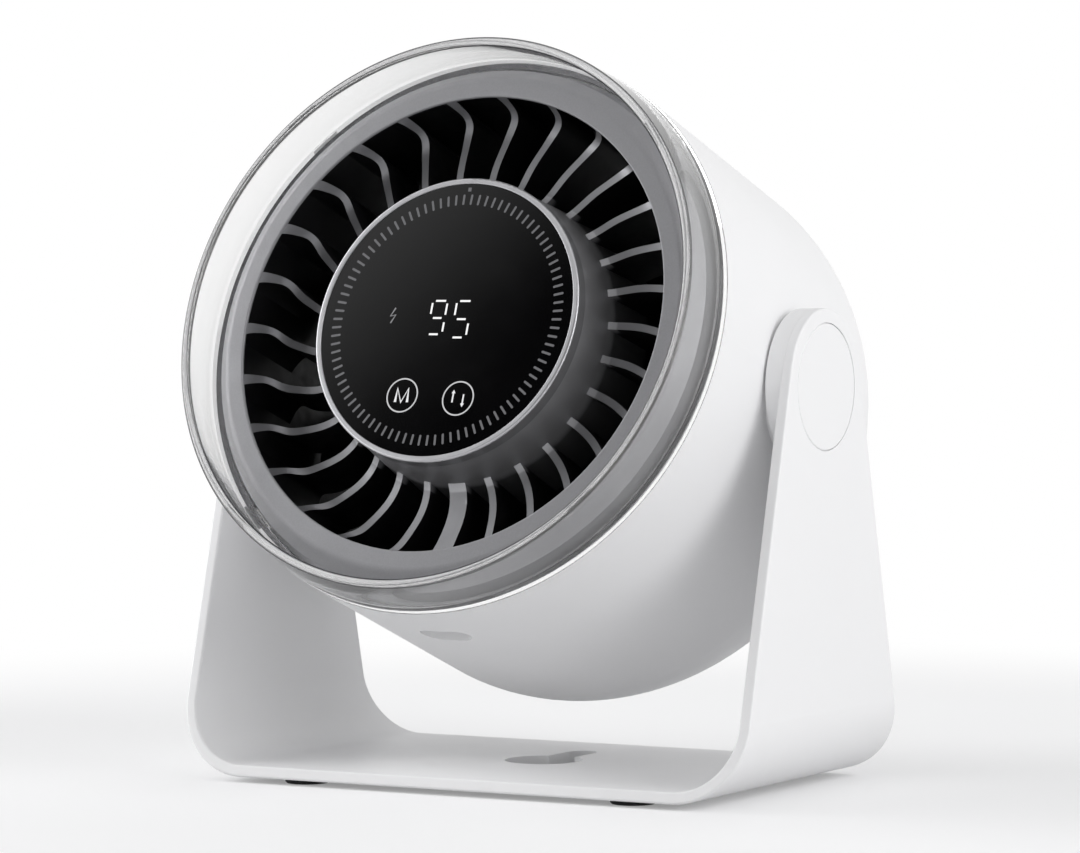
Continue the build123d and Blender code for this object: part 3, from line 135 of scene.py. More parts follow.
class DisplaySizes(bpy.types.PropertyGroup):
    """Sizes of the graphics on the display."""

    tick_count: bpy.props.IntProperty(name="Ticks", description="Ticks in the ring", min=3, default=90)
    tick_ring: length_property("Tick ring", "Radius of the middle of the ticks", 32.95)
    tick_length: length_property("Tick length", "Length of one tick along its radius", 2.9)
    tick_width: length_property("Tick width", "Width of one tick", 0.62)
    tick_rise: length_property("Tick rise", "How far a tick stands out of the display's glass", 0.02)
    line_rise: length_property("Line rise", "How far digits and marks stand out of the glass", 0.04)
    top_stroke: length_property("Top stroke", "Width of the small mark above the middle", 1.1)
    digit_stroke: length_property("Digit stroke", "Width of a digit's segments", 0.52)
    circle_radius: length_property("Circle radius", "Radius of the touch marks' circles", 4.5)
    circle_stroke: length_property("Circle stroke", "Width of the circles' lines", 0.378)
    letter_stroke: length_property("Letter stroke", "Width of the mode mark's lines", 0.735)
    sign_stroke: length_property("Sign stroke", "Width of the arrows' and the charge mark's lines", 0.42)


class RingSizes(bpy.types.PropertyGroup):
    """Sizes of the clear ring's turned section."""

    wall: length_property("Wall", "Thickness of the ring's wall and of its round lip", 2.5)
    draft: length_property("Draft", "How much narrower the lip is than the drum's edge", 2.0)
    seam: length_property("Seam", "Height of the drum's edge above the spigot's end", 4.1)
    seat: length_property("Seat", "Height of the spigot's inner edge above its end", 4.0)
    shoulder: length_property("Shoulder", "Height of the inner shoulder above the spigot's end", 6.0)
    spigot_radius: length_property("Spigot", "Outer radius of the spigot in the drum", 74.6)
    spigot_wall: length_property("Spigot wall", "Thickness of the spigot", 1.9)
    lug_rise: length_property("Lug rise", "How far the four lugs stand out of the spigot", 0.9)
    lug_width: length_property("Lug width", "Width of a lug along the spigot", 8.0)
    lug_low: length_property("Lug start", "Lower face of the lugs above the spigot's end", 0.8)
    lug_high: length_property("Lug end", "Upper face of the lugs above the spigot's end", 2.4)


class StageSettings(bpy.types.PropertyGroup):
    """Floor, lamps and surroundings."""

    floor: colour_property("Floor", "Pale studio floor", "DCDCDD")
    floor_size: length_property("Floor size", "Side of the floor", 8000)
    surroundings: bpy.props.FloatProperty(
        name="Surroundings", description="Light that comes evenly from all around", min=0, default=0.53)
    left_lamp: bpy.props.FloatProperty(
        name="Left lamp", description="Soft box on the left", unit="POWER", min=0, default=16.0)
    right_lamp: bpy.props.FloatProperty(
        name="Right lamp", description="Soft box on the right", unit="POWER", min=0, default=16.5)
    front_lamp: bpy.props.FloatProperty(
        name="Front lamp", description="Low soft box at the front left", unit="POWER", min=0, default=6.0)


# ---------------------------------------------------------------- shared helpers
# Sockets of a Mix node, after its share at 0: two numbers, or two colours and the mixed colour
NUMBER_A, NUMBER_B = 2, 3
COLOUR_A, COLOUR_B, COLOUR_OUT = 6, 7, 2
# Scales of the wave patterns: a band is 2 pi / (20 * scale) metres wide along an axis, and
# 2 pi / (10 * sqrt(3) * scale) metres along the diagonal. The real grinding marks are about 0.02 mm
# apart, and a sheet or a wire is 0.5 mm thick; the bands are drawn wider, so that they show.
GROUND_RINGS = 250  # 1.26 mm
SHEET_LINES = 100  # 3.14 mm
WIRE_TURNS = 100  # 3.63 mm
# Nearly all of a noise pattern lies between these values
NOISE_LOW, NOISE_HIGH = 0.3, 0.7


def add_object(name, data):
    """Adds an object to the scene."""
    added = bpy.data.objects.new(name, data)
    bpy.context.scene.collection.objects.link(added)
    return added


def add_node(tree, kind, sockets=None, **settings):
    """Adds a node with its settings; a socket takes a value or another node's output."""
    node = tree.nodes.new(kind)
    for name, value in settings.items():
        setattr(node, name, value)
    for key, value in (sockets or {}).items():
        if isinstance(value, bpy.types.NodeSocket):
            tree.links.new(value, node.inputs[key])
        else:
            node.inputs[key].default_value = value
    return node


def new_finish(name, constants):
    """Material with one Principled shader whose even values are set on its own sockets."""
    material = bpy.data.materials.new(name)
    material.use_nodes = True
    shader = material.node_tree.nodes["Principled BSDF"]
    for socket, value in constants.items():
        shader.inputs[socket].default_value = value
    return material, material.node_tree, shader


def drive(tree, shader, socket, output):
    """Lets a node's output set one of the shader's sockets."""
    tree.links.new(output, shader.inputs[socket])


def object_place(tree):
    """Place on the piece, in metres."""
    return add_node(tree, "ShaderNodeTexCoord").outputs["Object"]


def head_place(tree):
    """Place on the head's own axes: x, v up the face, a out of the face, in metres from the tilt axis."""
    centred = add_node(tree, "ShaderNodeMapping", {
        "Vector": object_place(tree), "Location": PIVOT, "Rotation": HEAD.to_euler()}, vector_type="TEXTURE")
    return centred.outputs["Vector"]


def per_mm(size):
    """Scale that makes a pattern's feature the given size in millimetres."""
    return 1 / (size * MM)


def varied_colour(tree, place, size, colour, darker, detail=2.0):
    """The colour with soft patches of the given size that are darker by a share."""
    patches = add_node(tree, "ShaderNodeTexNoise", {
        "Vector": place, "Scale": per_mm(size), "Detail": detail, "Roughness": 0.5})
    shade = tuple(c * (1 - darker) for c in colour[:3]) + (1.0,)
    mixed = add_node(tree, "ShaderNodeMix", {
        0: patches.outputs["Fac"], COLOUR_A: shade, COLOUR_B: tuple(colour)}, data_type="RGBA")
    return mixed.outputs[COLOUR_OUT]


def varied_roughness(tree, place, size, low, high):
    """Roughness that drifts between two values in patches of the given size."""
    patches = add_node(tree, "ShaderNodeTexNoise", {"Vector": place, "Scale": per_mm(size), "Detail": 3.0})
    spread = add_node(tree, "ShaderNodeMapRange", {
        "Value": patches.outputs["Fac"], "From Min": NOISE_LOW, "From Max": NOISE_HIGH,
        "To Min": low, "To Max": high})
    return spread.outputs["Result"]


def grain_normal(tree, place, size, height, strength=0.5):
    """Bump of a moulded or cast skin: grains of a size and a height in millimetres."""
    grains = add_node(tree, "ShaderNodeTexNoise", {
        "Vector": place, "Scale": per_mm(size), "Detail": 2.0, "Roughness": 0.6})
    bump = add_node(tree, "ShaderNodeBump", {
        "Height": grains.outputs["Fac"], "Distance": height * MM, "Strength": strength})
    return bump.outputs["Normal"]


def dress(material, *nodes):
    """Gives CAD nodes a material."""
    for name in nodes:
        slots = frame["nodes"][name].material_slots
        for slot in slots:
            slot.material = material
        if not slots:
            frame["nodes"][name].data.materials.append(material)


# ---------------------------------------------------------------- finishes
def moulded_white_abs(colour):
    """ABS, injection moulded in a spark-eroded tool: an even satin white with a very fine skin."""
    material, tree, shader = new_finish("moulded_white_abs", {"IOR": 1.53})
    place = object_place(tree)
    drive(tree, shader, "Base Color", varied_colour(tree, place, 55, colour, 0.018))
    drive(tree, shader, "Roughness", varied_roughness(tree, place, 9, 0.40, 0.48))
    # The real grain is about 0.05 mm; 0.35 mm is the finest that shows.
    drive(tree, shader, "Normal", grain_normal(tree, place, 0.35, 0.006))
    return material


# How far the ring's skin turns away where its painted grey shade starts, and where it is all painted grey
PAINTED_GREY_STARTS, PAINTED_GREY_FULL = 0.26, 0.50
# Shares of light that pass the ring's clear walls and its edges painted grey as shade
WALL_CLEARNESS, PAINTED_GREY_CLEARNESS = 0.97, 0.3
# Most roughness of the polished walls, and what the lip adds, which isn't polished as finely
WALL_HAZE, LIP_HAZE = 0.01, 0.12


def polished_clear_acrylic(lip_start):
    """Acrylic, moulded in a polished tool: clear, with painted shade in grey lines where the round of its
    lip turns away.
    """
    material, tree, shader = new_finish("polished_clear_acrylic", {"IOR": 1.42})
    place = head_place(tree)
    height = add_node(tree, "ShaderNodeSeparateXYZ", {"Vector": place}).outputs["Z"]
    on_lip = add_node(tree, "ShaderNodeMath", {0: height, 1: lip_start}, operation="GREATER_THAN")
    # Where the lip turns away, its colour is painted grey and made less clear, as painted shade.
    away = add_node(tree, "ShaderNodeLayerWeight", {"Blend": 0.5}).outputs["Facing"]
    turned_away = add_node(tree, "ShaderNodeMapRange", {
        "Value": away, "From Min": PAINTED_GREY_STARTS, "From Max": PAINTED_GREY_FULL}, interpolation_type="SMOOTHSTEP")
    line = add_node(tree, "ShaderNodeMath", {
        0: turned_away.outputs["Result"], 1: on_lip.outputs[0]}, operation="MULTIPLY")
    painted_edge_grey = add_node(tree, "ShaderNodeMix", {
        0: line.outputs[0], COLOUR_A: linear("FFFFFF"), COLOUR_B: linear("2C2C30")}, data_type="RGBA")
    clear = add_node(tree, "ShaderNodeMapRange", {
        "Value": line.outputs[0], "To Min": WALL_CLEARNESS, "To Max": PAINTED_GREY_CLEARNESS})
    drive(tree, shader, "Base Color", painted_edge_grey.outputs[COLOUR_OUT])
    drive(tree, shader, "Transmission Weight", clear.outputs["Result"])
    lip_haze = add_node(tree, "ShaderNodeMath", {0: on_lip.outputs[0], 1: LIP_HAZE}, operation="MULTIPLY")
    haze = add_node(tree, "ShaderNodeMath", {
        0: lip_haze.outputs[0], 1: varied_roughness(tree, place, 14, 0.0, WALL_HAZE)})
    drive(tree, shader, "Roughness", haze.outputs[0])
    # Lamp light passes the clear wall and reaches the bezel and the drum behind it.
    path = add_node(tree, "ShaderNodeLightPath").outputs
    lamp_light = add_node(tree, "ShaderNodeMath", {
        0: path["Is Shadow Ray"], 1: path["Is Diffuse Ray"]}, operation="MAXIMUM")
    passed = add_node(tree, "ShaderNodeBsdfTransparent", {"Color": linear("F0F0F0")})
    either = add_node(tree, "ShaderNodeMixShader", {
        0: lamp_light.outputs[0], 1: shader.outputs[0], 2: passed.outputs[0]})
    tree.links.new(either.outputs[0], tree.nodes["Material Output"].inputs["Surface"])
    return material


def silver_lacquered_abs(colour):
    """ABS sprayed with a fine aluminium lacquer: a soft metallic grey that turns with the light."""
    material, tree, shader = new_finish("silver_lacquered_abs", {"IOR": 1.5, "Metallic": 0.35})
    place = head_place(tree)
    # The real flakes are about 0.02 mm; 0.3 mm is the finest that shows.
    flakes = add_node(tree, "ShaderNodeTexVoronoi", {"Vector": place, "Scale": per_mm(0.3)})
    spread = add_node(tree, "ShaderNodeMapRange", {
        "Value": flakes.outputs["Color"], "To Min": 0.94, "To Max": 1.03})
    glint = add_node(tree, "ShaderNodeMix", {
        0: 1.0, COLOUR_A: tuple(colour), COLOUR_B: spread.outputs["Result"]},
        data_type="RGBA", blend_type="MULTIPLY")
    drive(tree, shader, "Base Color", glint.outputs[COLOUR_OUT])
    drive(tree, shader, "Roughness", varied_roughness(tree, place, 5, 0.46, 0.54))
    drive(tree, shader, "Normal", grain_normal(tree, place, 0.4, 0.004))
    return material


# How far a face of the grille looks forward where it is painted all black as shade, and where its silver
# shows in full
SIDE_SHADE_FULL, SIDE_SHADE_ENDS = 0.05, 0.35
# How deep behind the bezel's front the hub's side starts to be painted black as shade, and where that
# painted shade is full, in millimetres
HUB_SHADE_STARTS, HUB_SHADE_FULL = 13.5, 17.5
# How far out from the display's rim the hub reaches, and where the vanes' own colour begins, in millimetres
HUB_REACH, VANES_BEGIN = 3.0, 3.4
# How metallic the silver is where no painted shade covers it
SILVER_METALLIC = 0.7


def front_sprayed_black_abs(silver, hub_silver_painted_light, black):
    """Silver lacquered grille: grey vane edges and hub, with black painted as shade on faces turned from the
    front and deep in the duct.
    """
    material, tree, shader = new_finish("front_sprayed_black_abs", {"IOR": 1.5})
    place = head_place(tree)
    parts = add_node(tree, "ShaderNodeSeparateXYZ", {"Vector": place})
    across = add_node(tree, "ShaderNodeVectorMath", {0: place, 1: (1, 1, 0)}, operation="MULTIPLY")
    radius = add_node(tree, "ShaderNodeVectorMath", {0: across.outputs[0]}, operation="LENGTH")
    skin = add_node(tree, "ShaderNodeMapping", {
        "Vector": add_node(tree, "ShaderNodeTexCoord").outputs["Normal"],
        "Rotation": HEAD.to_euler()}, vector_type="TEXTURE")
    facing = add_node(tree, "ShaderNodeSeparateXYZ", {"Vector": skin.outputs["Vector"]})
    # Silver shows on what faces forward, such as the vanes' edges; faces turned away are painted black as
    # shade.
    unshaded_facing = add_node(tree, "ShaderNodeMapRange", {
        "Value": facing.outputs["Z"], "From Min": SIDE_SHADE_FULL, "From Max": SIDE_SHADE_ENDS},
        interpolation_type="SMOOTHSTEP")
    # On the hub's side the silver reaches in from the display to just behind the vanes' roots; deeper in,
    # black is painted as shade.
    unshaded_hub_depth = add_node(tree, "ShaderNodeMapRange", {
        "Value": parts.outputs["Z"], "From Min": BEZEL_FRONT - HUB_SHADE_FULL * MM,
        "From Max": BEZEL_FRONT - HUB_SHADE_STARTS * MM}, interpolation_type="SMOOTHSTEP")
    near_hub = add_node(tree, "ShaderNodeMapRange", {
        "Value": radius.outputs["Value"], "From Min": RIM_R + VANES_BEGIN * MM,
        "From Max": RIM_R + HUB_REACH * MM})
    on_hub = add_node(tree, "ShaderNodeMath", {
        0: unshaded_hub_depth.outputs["Result"], 1: near_hub.outputs["Result"]}, operation="MULTIPLY")
    silver_not_painted_shade = add_node(tree, "ShaderNodeMath", {
        0: unshaded_facing.outputs["Result"], 1: on_hub.outputs["Value"]}, operation="MAXIMUM")
    # Near the hub the lighter hub colour is used: painted light against the shade in the grille's recess.
    silver_skin = add_node(tree, "ShaderNodeMix", {
        0: near_hub.outputs["Result"], COLOUR_A: varied_colour(tree, place, 0.3, silver, 0.08),
        COLOUR_B: varied_colour(tree, place, 0.3, hub_silver_painted_light, 0.08)}, data_type="RGBA")
    black_painted_shade = varied_colour(tree, place, 12, black, 0.2)
    skin_colour = add_node(tree, "ShaderNodeMix", {
        0: silver_not_painted_shade.outputs["Value"], COLOUR_A: black_painted_shade,
        COLOUR_B: silver_skin.outputs[COLOUR_OUT]}, data_type="RGBA")
    metal = add_node(tree, "ShaderNodeMath", {
        0: silver_not_painted_shade.outputs["Value"], 1: SILVER_METALLIC}, operation="MULTIPLY")
    drive(tree, shader, "Base Color", skin_colour.outputs[COLOUR_OUT])
    drive(tree, shader, "Metallic", metal.outputs["Value"])
    drive(tree, shader, "Roughness", varied_roughness(tree, place, 4, 0.38, 0.50))
    drive(tree, shader, "Normal", grain_normal(tree, place, 0.4, 0.004))
    return material


# How deep the rim's front colour is whole, and how deep the painted shade of its side is full, in
# millimetres
RIM_SHADE_STARTS, RIM_SHADE_FULL = 0.25, 0.8


def satin_silver_ring(colour, side):
    """ABS with a satin silver front: a pale line round the display, its side painted darker as shade."""
    material, tree, shader = new_finish("satin_silver_ring", {"IOR": 1.5, "Metallic": 0.6})
    place = head_place(tree)
    height = add_node(tree, "ShaderNodeSeparateXYZ", {"Vector": place}).outputs["Z"]
    unshaded_rim_front = add_node(tree, "ShaderNodeMapRange", {
        "Value": height, "From Min": RIM_FRONT - RIM_SHADE_FULL * MM, "From Max": RIM_FRONT - RIM_SHADE_STARTS * MM})
    skin = add_node(tree, "ShaderNodeMix", {
        0: unshaded_rim_front.outputs["Result"], COLOUR_A: tuple(side),
        COLOUR_B: varied_colour(tree, place, 0.5, colour, 0.03)}, data_type="RGBA")
    drive(tree, shader, "Base Color", skin.outputs[COLOUR_OUT])
    drive(tree, shader, "Roughness", varied_roughness(tree, place, 6, 0.28, 0.36))
    return material


def smoked_acrylic(colour):
    """Smoked acrylic with a hard coat: deep gloss black with a faint haze of handling."""
    material, tree, shader = new_finish("smoked_acrylic", {"IOR": 1.49})
    place = head_place(tree)
    drive(tree, shader, "Base Color", varied_colour(tree, place, 18, colour, 0.15))
    drive(tree, shader, "Roughness", varied_roughness(tree, place, 16, 0.03, 0.07))
    drive(tree, shader, "Normal", grain_normal(tree, place, 15, 0.01, 0.2))
    return material


def moulded_black_nylon(colour):
    """Glass-filled nylon, moulded: black with a slightly greasy sheen and fibre grain."""
    material, tree, shader = new_finish("moulded_black_nylon", {"IOR": 1.53})
    place = head_place(tree)
    drive(tree, shader, "Base Color", varied_colour(tree, place, 7, colour, 0.25))
    drive(tree, shader, "Roughness", varied_roughness(tree, place, 3, 0.36, 0.52))
    drive(tree, shader, "Normal", grain_normal(tree, place, 0.5, 0.01))
    return material


def lit_mark(name, colour, weaker):
    """Light through a printed mask: flat and even, with patches that are weaker by a small share."""
    material, tree, shader = new_finish(name, {
        "Base Color": linear("101010"), "Roughness": 0.35, "IOR": 1.49, "Emission Strength": 1.0})
    drive(tree, shader, "Emission Color", varied_colour(tree, head_place(tree), 1.6, colour, weaker))
    return material


def moulded_rubber():
    """Silicone rubber, moulded: matt dark grey with a dusty bloom."""
    material, tree, shader = new_finish("moulded_rubber", {"IOR": 1.41, "Sheen Weight": 0.15})
    place = object_place(tree)
    drive(tree, shader, "Base Color", varied_colour(tree, place, 2.5, linear("2A2A2C"), 0.3))
    drive(tree, shader, "Roughness", varied_roughness(tree, place, 1.5, 0.75, 0.92))
    drive(tree, shader, "Normal", grain_normal(tree, place, 0.3, 0.02))
    return material


def pressed_fibre():
    """Vulcanised fibre, punched from sheet: warm brown with a faint felt of fibres."""
    material, tree, shader = new_finish("pressed_fibre", {"IOR": 1.47})
    place = object_place(tree)
    stretched = add_node(tree, "ShaderNodeMapping", {"Vector": place, "Scale": (1, 1, 6)})
    felt = stretched.outputs["Vector"]
    drive(tree, shader, "Base Color", varied_colour(tree, felt, 1.2, linear("7A5238"), 0.35, 5.0))
    drive(tree, shader, "Roughness", varied_roughness(tree, place, 2, 0.7, 0.85))
    return material


def zinc_plated_steel():
    """Steel, zinc plated and cleared: cool bright metal with a cloudy spangle."""
    material, tree, shader = new_finish("zinc_plated_steel", {"Metallic": 1.0})
    place = object_place(tree)
    drive(tree, shader, "Base Color", varied_colour(tree, place, 1.1, linear("C3C6C9"), 0.18))
    drive(tree, shader, "Roughness", varied_roughness(tree, place, 0.8, 0.24, 0.40))
    return material


def ground_steel():
    """Hardened steel, ground round: fine bright rings along the shaft."""
    material, tree, shader = new_finish("ground_steel", {"Metallic": 1.0, "Roughness": 0.2})
    place = head_place(tree)
    rings = add_node(tree, "ShaderNodeTexWave", {
        "Vector": place, "Scale": GROUND_RINGS, "Distortion": 0.4}, bands_direction="Z")
    drive(tree, shader, "Base Color", varied_colour(tree, place, 3, linear("CFD1D3"), 0.08))
    bump = add_node(tree, "ShaderNodeBump", {
        "Height": rings.outputs["Fac"], "Distance": 0.002 * MM, "Strength": 0.4})
    drive(tree, shader, "Normal", bump.outputs["Normal"])
    return material


def stacked_electrical_steel():
    """Electrical steel sheets, punched and stacked: dark lines between bright cut edges."""
    material, tree, shader = new_finish("stacked_electrical_steel", {"Metallic": 0.85})
    place = head_place(tree)
    lines = add_node(tree, "ShaderNodeTexWave", {
        "Vector": place, "Scale": SHEET_LINES, "Distortion": 0.1},
        bands_direction="Z", wave_profile="SAW")
    shade = add_node(tree, "ShaderNodeMix", {
        0: lines.outputs["Fac"], COLOUR_A: linear("3A3C40"), COLOUR_B: linear("8E9095")}, data_type="RGBA")
    drive(tree, shader, "Base Color", shade.outputs[COLOUR_OUT])
    drive(tree, shader, "Roughness", varied_roughness(tree, place, 2, 0.4, 0.55))
    return material


def pressed_ferrite():
    """Ferrite, pressed and sintered: dull charcoal with a fine powder grain."""
    material, tree, shader = new_finish("pressed_ferrite", {"IOR": 2.3})
    place = object_place(tree)
    drive(tree, shader, "Base Color", varied_colour(tree, place, 0.6, linear("35363A"), 0.3))
    drive(tree, shader, "Roughness", varied_roughness(tree, place, 1, 0.55, 0.7))
    drive(tree, shader, "Normal", grain_normal(tree, place, 0.4, 0.02))
    return material


def enamelled_copper_wire():
    """Enamelled copper wire, wound: amber-red turns with a varnish gloss, painted darker between them as
    shade.
    """
    material, tree, shader = new_finish("enamelled_copper_wire", {
        "Metallic": 0.9, "Coat Weight": 0.5, "Coat Roughness": 0.15})
    place = head_place(tree)
    turns = add_node(tree, "ShaderNodeTexWave", {
        "Vector": place, "Scale": WIRE_TURNS, "Distortion": 0.6, "Detail": 1.0},
        bands_direction="DIAGONAL")
    # The same waves that raise the turns paint them darker in the grooves between them, as shade.
    shade = add_node(tree, "ShaderNodeMix", {
        0: turns.outputs["Fac"], COLOUR_A: linear("5A2410"), COLOUR_B: linear("C26A3A")}, data_type="RGBA")
    bump = add_node(tree, "ShaderNodeBump", {
        "Height": turns.outputs["Fac"], "Distance": 0.1 * MM, "Strength": 0.7})
    drive(tree, shader, "Base Color", shade.outputs[COLOUR_OUT])
    drive(tree, shader, "Roughness", varied_roughness(tree, place, 2, 0.25, 0.38))
    drive(tree, shader, "Normal", bump.outputs["Normal"])
    return material


def cast_aluminium():
    """Aluminium, die cast: pale grey with a mottled matt skin."""
    material, tree, shader = new_finish("cast_aluminium", {"Metallic": 1.0})
    place = object_place(tree)
    drive(tree, shader, "Base Color", varied_colour(tree, place, 3, linear("B9BBBE"), 0.2))
    drive(tree, shader, "Roughness", varied_roughness(tree, place, 1.2, 0.42, 0.58))
    drive(tree, shader, "Normal", grain_normal(tree, place, 0.5, 0.02))
    return material


def rolled_nickel():
    """Nickel strip, cold rolled: warm bright metal with lengthwise rolling lines."""
    material, tree, shader = new_finish("rolled_nickel", {"Metallic": 1.0})
    place = head_place(tree)
    rolled = add_node(tree, "ShaderNodeMapping", {"Vector": place, "Scale": (0.1, 1, 1)})
    lines = rolled.outputs["Vector"]
    drive(tree, shader, "Base Color", varied_colour(tree, lines, 0.3, linear("D2CFC6"), 0.12))
    drive(tree, shader, "Roughness", varied_roughness(tree, lines, 0.4, 0.18, 0.32))
    return material


def shrink_sleeve():
    """PVC sleeve shrunk on the cell: glossy blue with soft tight creases."""
    material, tree, shader = new_finish("shrink_sleeve", {"IOR": 1.54})
    place = head_place(tree)
    creases = add_node(tree, "ShaderNodeMapping", {"Vector": place, "Scale": (1, 1, 0.2)})
    drive(tree, shader, "Base Color", varied_colour(tree, place, 9, linear("2B6C9E"), 0.12))
    drive(tree, shader, "Roughness", varied_roughness(tree, place, 4, 0.22, 0.34))
    drive(tree, shader, "Normal", grain_normal(tree, creases.outputs["Vector"], 2.5, 0.05))
    return material


def solder_masked_board():
    """Glass-epoxy board under solder mask: glossy green with the weave showing through."""
    material, tree, shader = new_finish("solder_masked_board", {
        "IOR": 1.55, "Coat Weight": 0.6, "Coat Roughness": 0.12})
    place = head_place(tree)
    # The real glass cloth has a thread every 0.5 mm; squares of 1 mm are the finest that show.
    weave = add_node(tree, "ShaderNodeTexChecker", {
        "Vector": place, "Scale": per_mm(1.0), "Color1": linear("1B5A36"), "Color2": linear("17502F")})
    drive(tree, shader, "Base Color", weave.outputs["Color"])
    drive(tree, shader, "Roughness", varied_roughness(tree, place, 3, 0.3, 0.42))
    return material


def milky_polycarbonate():
    """Diffusing polycarbonate, moulded: milky, so that it spreads the light of the marks."""
    material, tree, shader = new_finish("milky_polycarbonate", {"IOR": 1.58, "Transmission Weight": 0.35})
    place = head_place(tree)
    drive(tree, shader, "Base Color", varied_colour(tree, place, 4, linear("E8E8E4"), 0.05))
    drive(tree, shader, "Roughness", varied_roughness(tree, place, 2, 0.45, 0.6))
    return material


# ---------------------------------------------------------------- clear ring
RING_TURNS = 1440
LIP_STEPS = 24
LUG_ANGLES = (45, 135, 225, 315)
# Degrees past which two faces of the ring meet at a sharp edge
SHARP_EDGE = 25
# Points nearer to each other than this, in metres, become one
SAME_PLACE = 1e-6


def ring_section(ring, lug):
    """Closed section of the clear ring as (radius, height), counter-clockwise; lug is a lug's rise."""
    lip_r = RING_R - ring.draft
    lip = ring.wall / 2
    spigot = ring.spigot_radius
    spigot_in = spigot - ring.spigot_wall
    low = RING_BACK + ring.lug_low
    high = RING_BACK + ring.lug_high
    seam = RING_BACK + ring.seam
    points = [
        (spigot_in, RING_BACK), (spigot, RING_BACK), (spigot, low), (spigot + lug, low),
        (spigot + lug, high), (spigot, high), (spigot, seam), (RING_R, seam)]
    for k in range(LIP_STEPS + 1):
        t = math.pi * k / LIP_STEPS
        points.append((lip_r - lip + lip * math.cos(t), RING_FRONT - lip + lip * math.sin(t)))
    points.append((RING_R - ring.wall, RING_BACK + ring.shoulder))
    points.append((spigot_in, RING_BACK + ring.seat))
    return points


def turned_ring(name, ring):
    """The clear ring turned from its section, with its four lugs, as a mesh object."""
    half_lug = ring.lug_width / 2 / ring.spigot_radius
    shape = bmesh.new()
    rows = []
    for k in range(RING_TURNS):
        t = 2 * math.pi * k / RING_TURNS
        off = min(abs(math.remainder(t - math.radians(lug), 2 * math.pi)) for lug in LUG_ANGLES)
        section = ring_section(ring, ring.lug_rise if off <= half_lug else 0.0)
        rows.append([shape.verts.new((r * math.cos(t), r * math.sin(t), a)) for r, a in section])
    for k, row in enumerate(rows):
        after = rows[(k + 1) % RING_TURNS]
        for j in range(len(row)):
            i = (j + 1) % len(row)
            shape.faces.new((row[j], after[j], after[i], row[i]))
    bmesh.ops.remove_doubles(shape, verts=shape.verts[:], dist=SAME_PLACE)
    bmesh.ops.recalc_face_normals(shape, faces=shape.faces[:])
    mesh = bpy.data.meshes.new(name)
    shape.to_mesh(mesh)
    shape.free()
    mesh.transform(HEAD)
    mesh.shade_smooth()
    mesh.set_sharp_from_angle(angle=math.radians(SHARP_EDGE))
    return add_object(name, mesh)


# ---------------------------------------------------------------- display graphics
# Lit segments of each digit, named as usual from the top clockwise, with the middle last
LIT_SEGMENTS = {"9": "abcdfg", "5": "acdfg"}
# Each digit: its left, right, top, middle and bottom on the display
DIGITS = [("9", -4.8, -0.35, 5.0, 0.3, -4.15), ("5", 2.5, 7.0, 4.95, 0.0, -5.0)]
# How far each segment stays clear of the corner where it starts and of the one where it ends
SEGMENT_GAPS = {
    "a": (0.9, 0.525), "b": (0.75, 0.9), "c": (1.2, 0.75),
    "d": (0.6, 1.2), "f": (0.6, 1.125), "g": (0.9, 0.975)}
# Middles of the two touch marks' circles, and the lines of their signs about them
MODE_MARK = (-8.85, -20.85)
SWING_MARK = (8.05, -21.5)
MODE_LETTER = [(-1.85, -1.85), (-1.7, 1.9), (-0.1, -1.9), (1.6, 1.9), (1.8, -1.85)]
UP_ARROW = [(-1.6, -1.1), (-1.6, 2.0)]
UP_HEAD = [(-2.0, 1.45), (-1.6, 2.1), (-1.2, 1.45)]
DOWN_ARROW = [(1.5, 1.1), (1.5, -2.0)]
DOWN_HEAD = [(1.1, -1.45), (1.5, -2.1), (1.9, -1.45)]
# The swing sign's lines, and whether each one is closed
SWING_SIGN = [(UP_ARROW, False), (UP_HEAD, True), (DOWN_ARROW, False), (DOWN_HEAD, True)]
CHARGE_MARK = [(-15.7, 3.05), (-16.95, 0.8), (-15.35, 1.15), (-16.55, -1.1)]
TOP_MARK = [(-0.35, 35.75), (0.6, 35.75)]
CIRCLE_STEPS = 64
# Steps in the round of a drawn line's section
LINE_STEPS = 3
# Corner radius of a tick as a share of its width, and the steps in that corner
TICK_CORNER = 0.45
TICK_CORNER_STEPS = 3


def lay_on_display(piece, material, sunk=0.0):
    """Lays graphics drawn at the origin on the display's glass, sunk by a depth, as a piece of the head."""
    piece.data.transform(HEAD @ Matrix.Translation((0, 0, LENS_FRONT - sunk)))
    piece.data.materials.clear()
    piece.data.materials.append(material)
    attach(piece, "head")


def plain_mesh(name, source):
    """The evaluated object as a plain mesh object, with the source removed."""
    bpy.context.view_layer.update()
    mesh = bpy.data.meshes.new_from_object(source.evaluated_get(bpy.context.evaluated_depsgraph_get()))
    bpy.data.objects.remove(source)
    mesh.name = name
    return add_object(name, mesh)


def draw_on_display(name, lines, stroke, rise, material):
    """Draws round-ended lines as one flattened tube, half of it in the display's glass.

    A line is its (x, v) points in millimetres, and whether it is closed.
    """
    curve = bpy.data.curves.new(name, "CURVE")
    curve.dimensions = "3D"
    curve.bevel_depth = stroke / 2
    curve.bevel_resolution = LINE_STEPS
    curve.use_fill_caps = True
    for points, closed in lines:
        spline = curve.splines.new("POLY")
        spline.points.add(len(points) - 1)
        for point, (x, v) in zip(spline.points, points):
            point.co = (x * MM, v * MM, 0, 1)
        spline.use_cyclic_u = closed
    piece = plain_mesh(name, add_object(name, curve))
    piece.data.transform(Matrix.Diagonal((1, 1, 2 * rise / stroke, 1)))
    lay_on_display(piece, material)


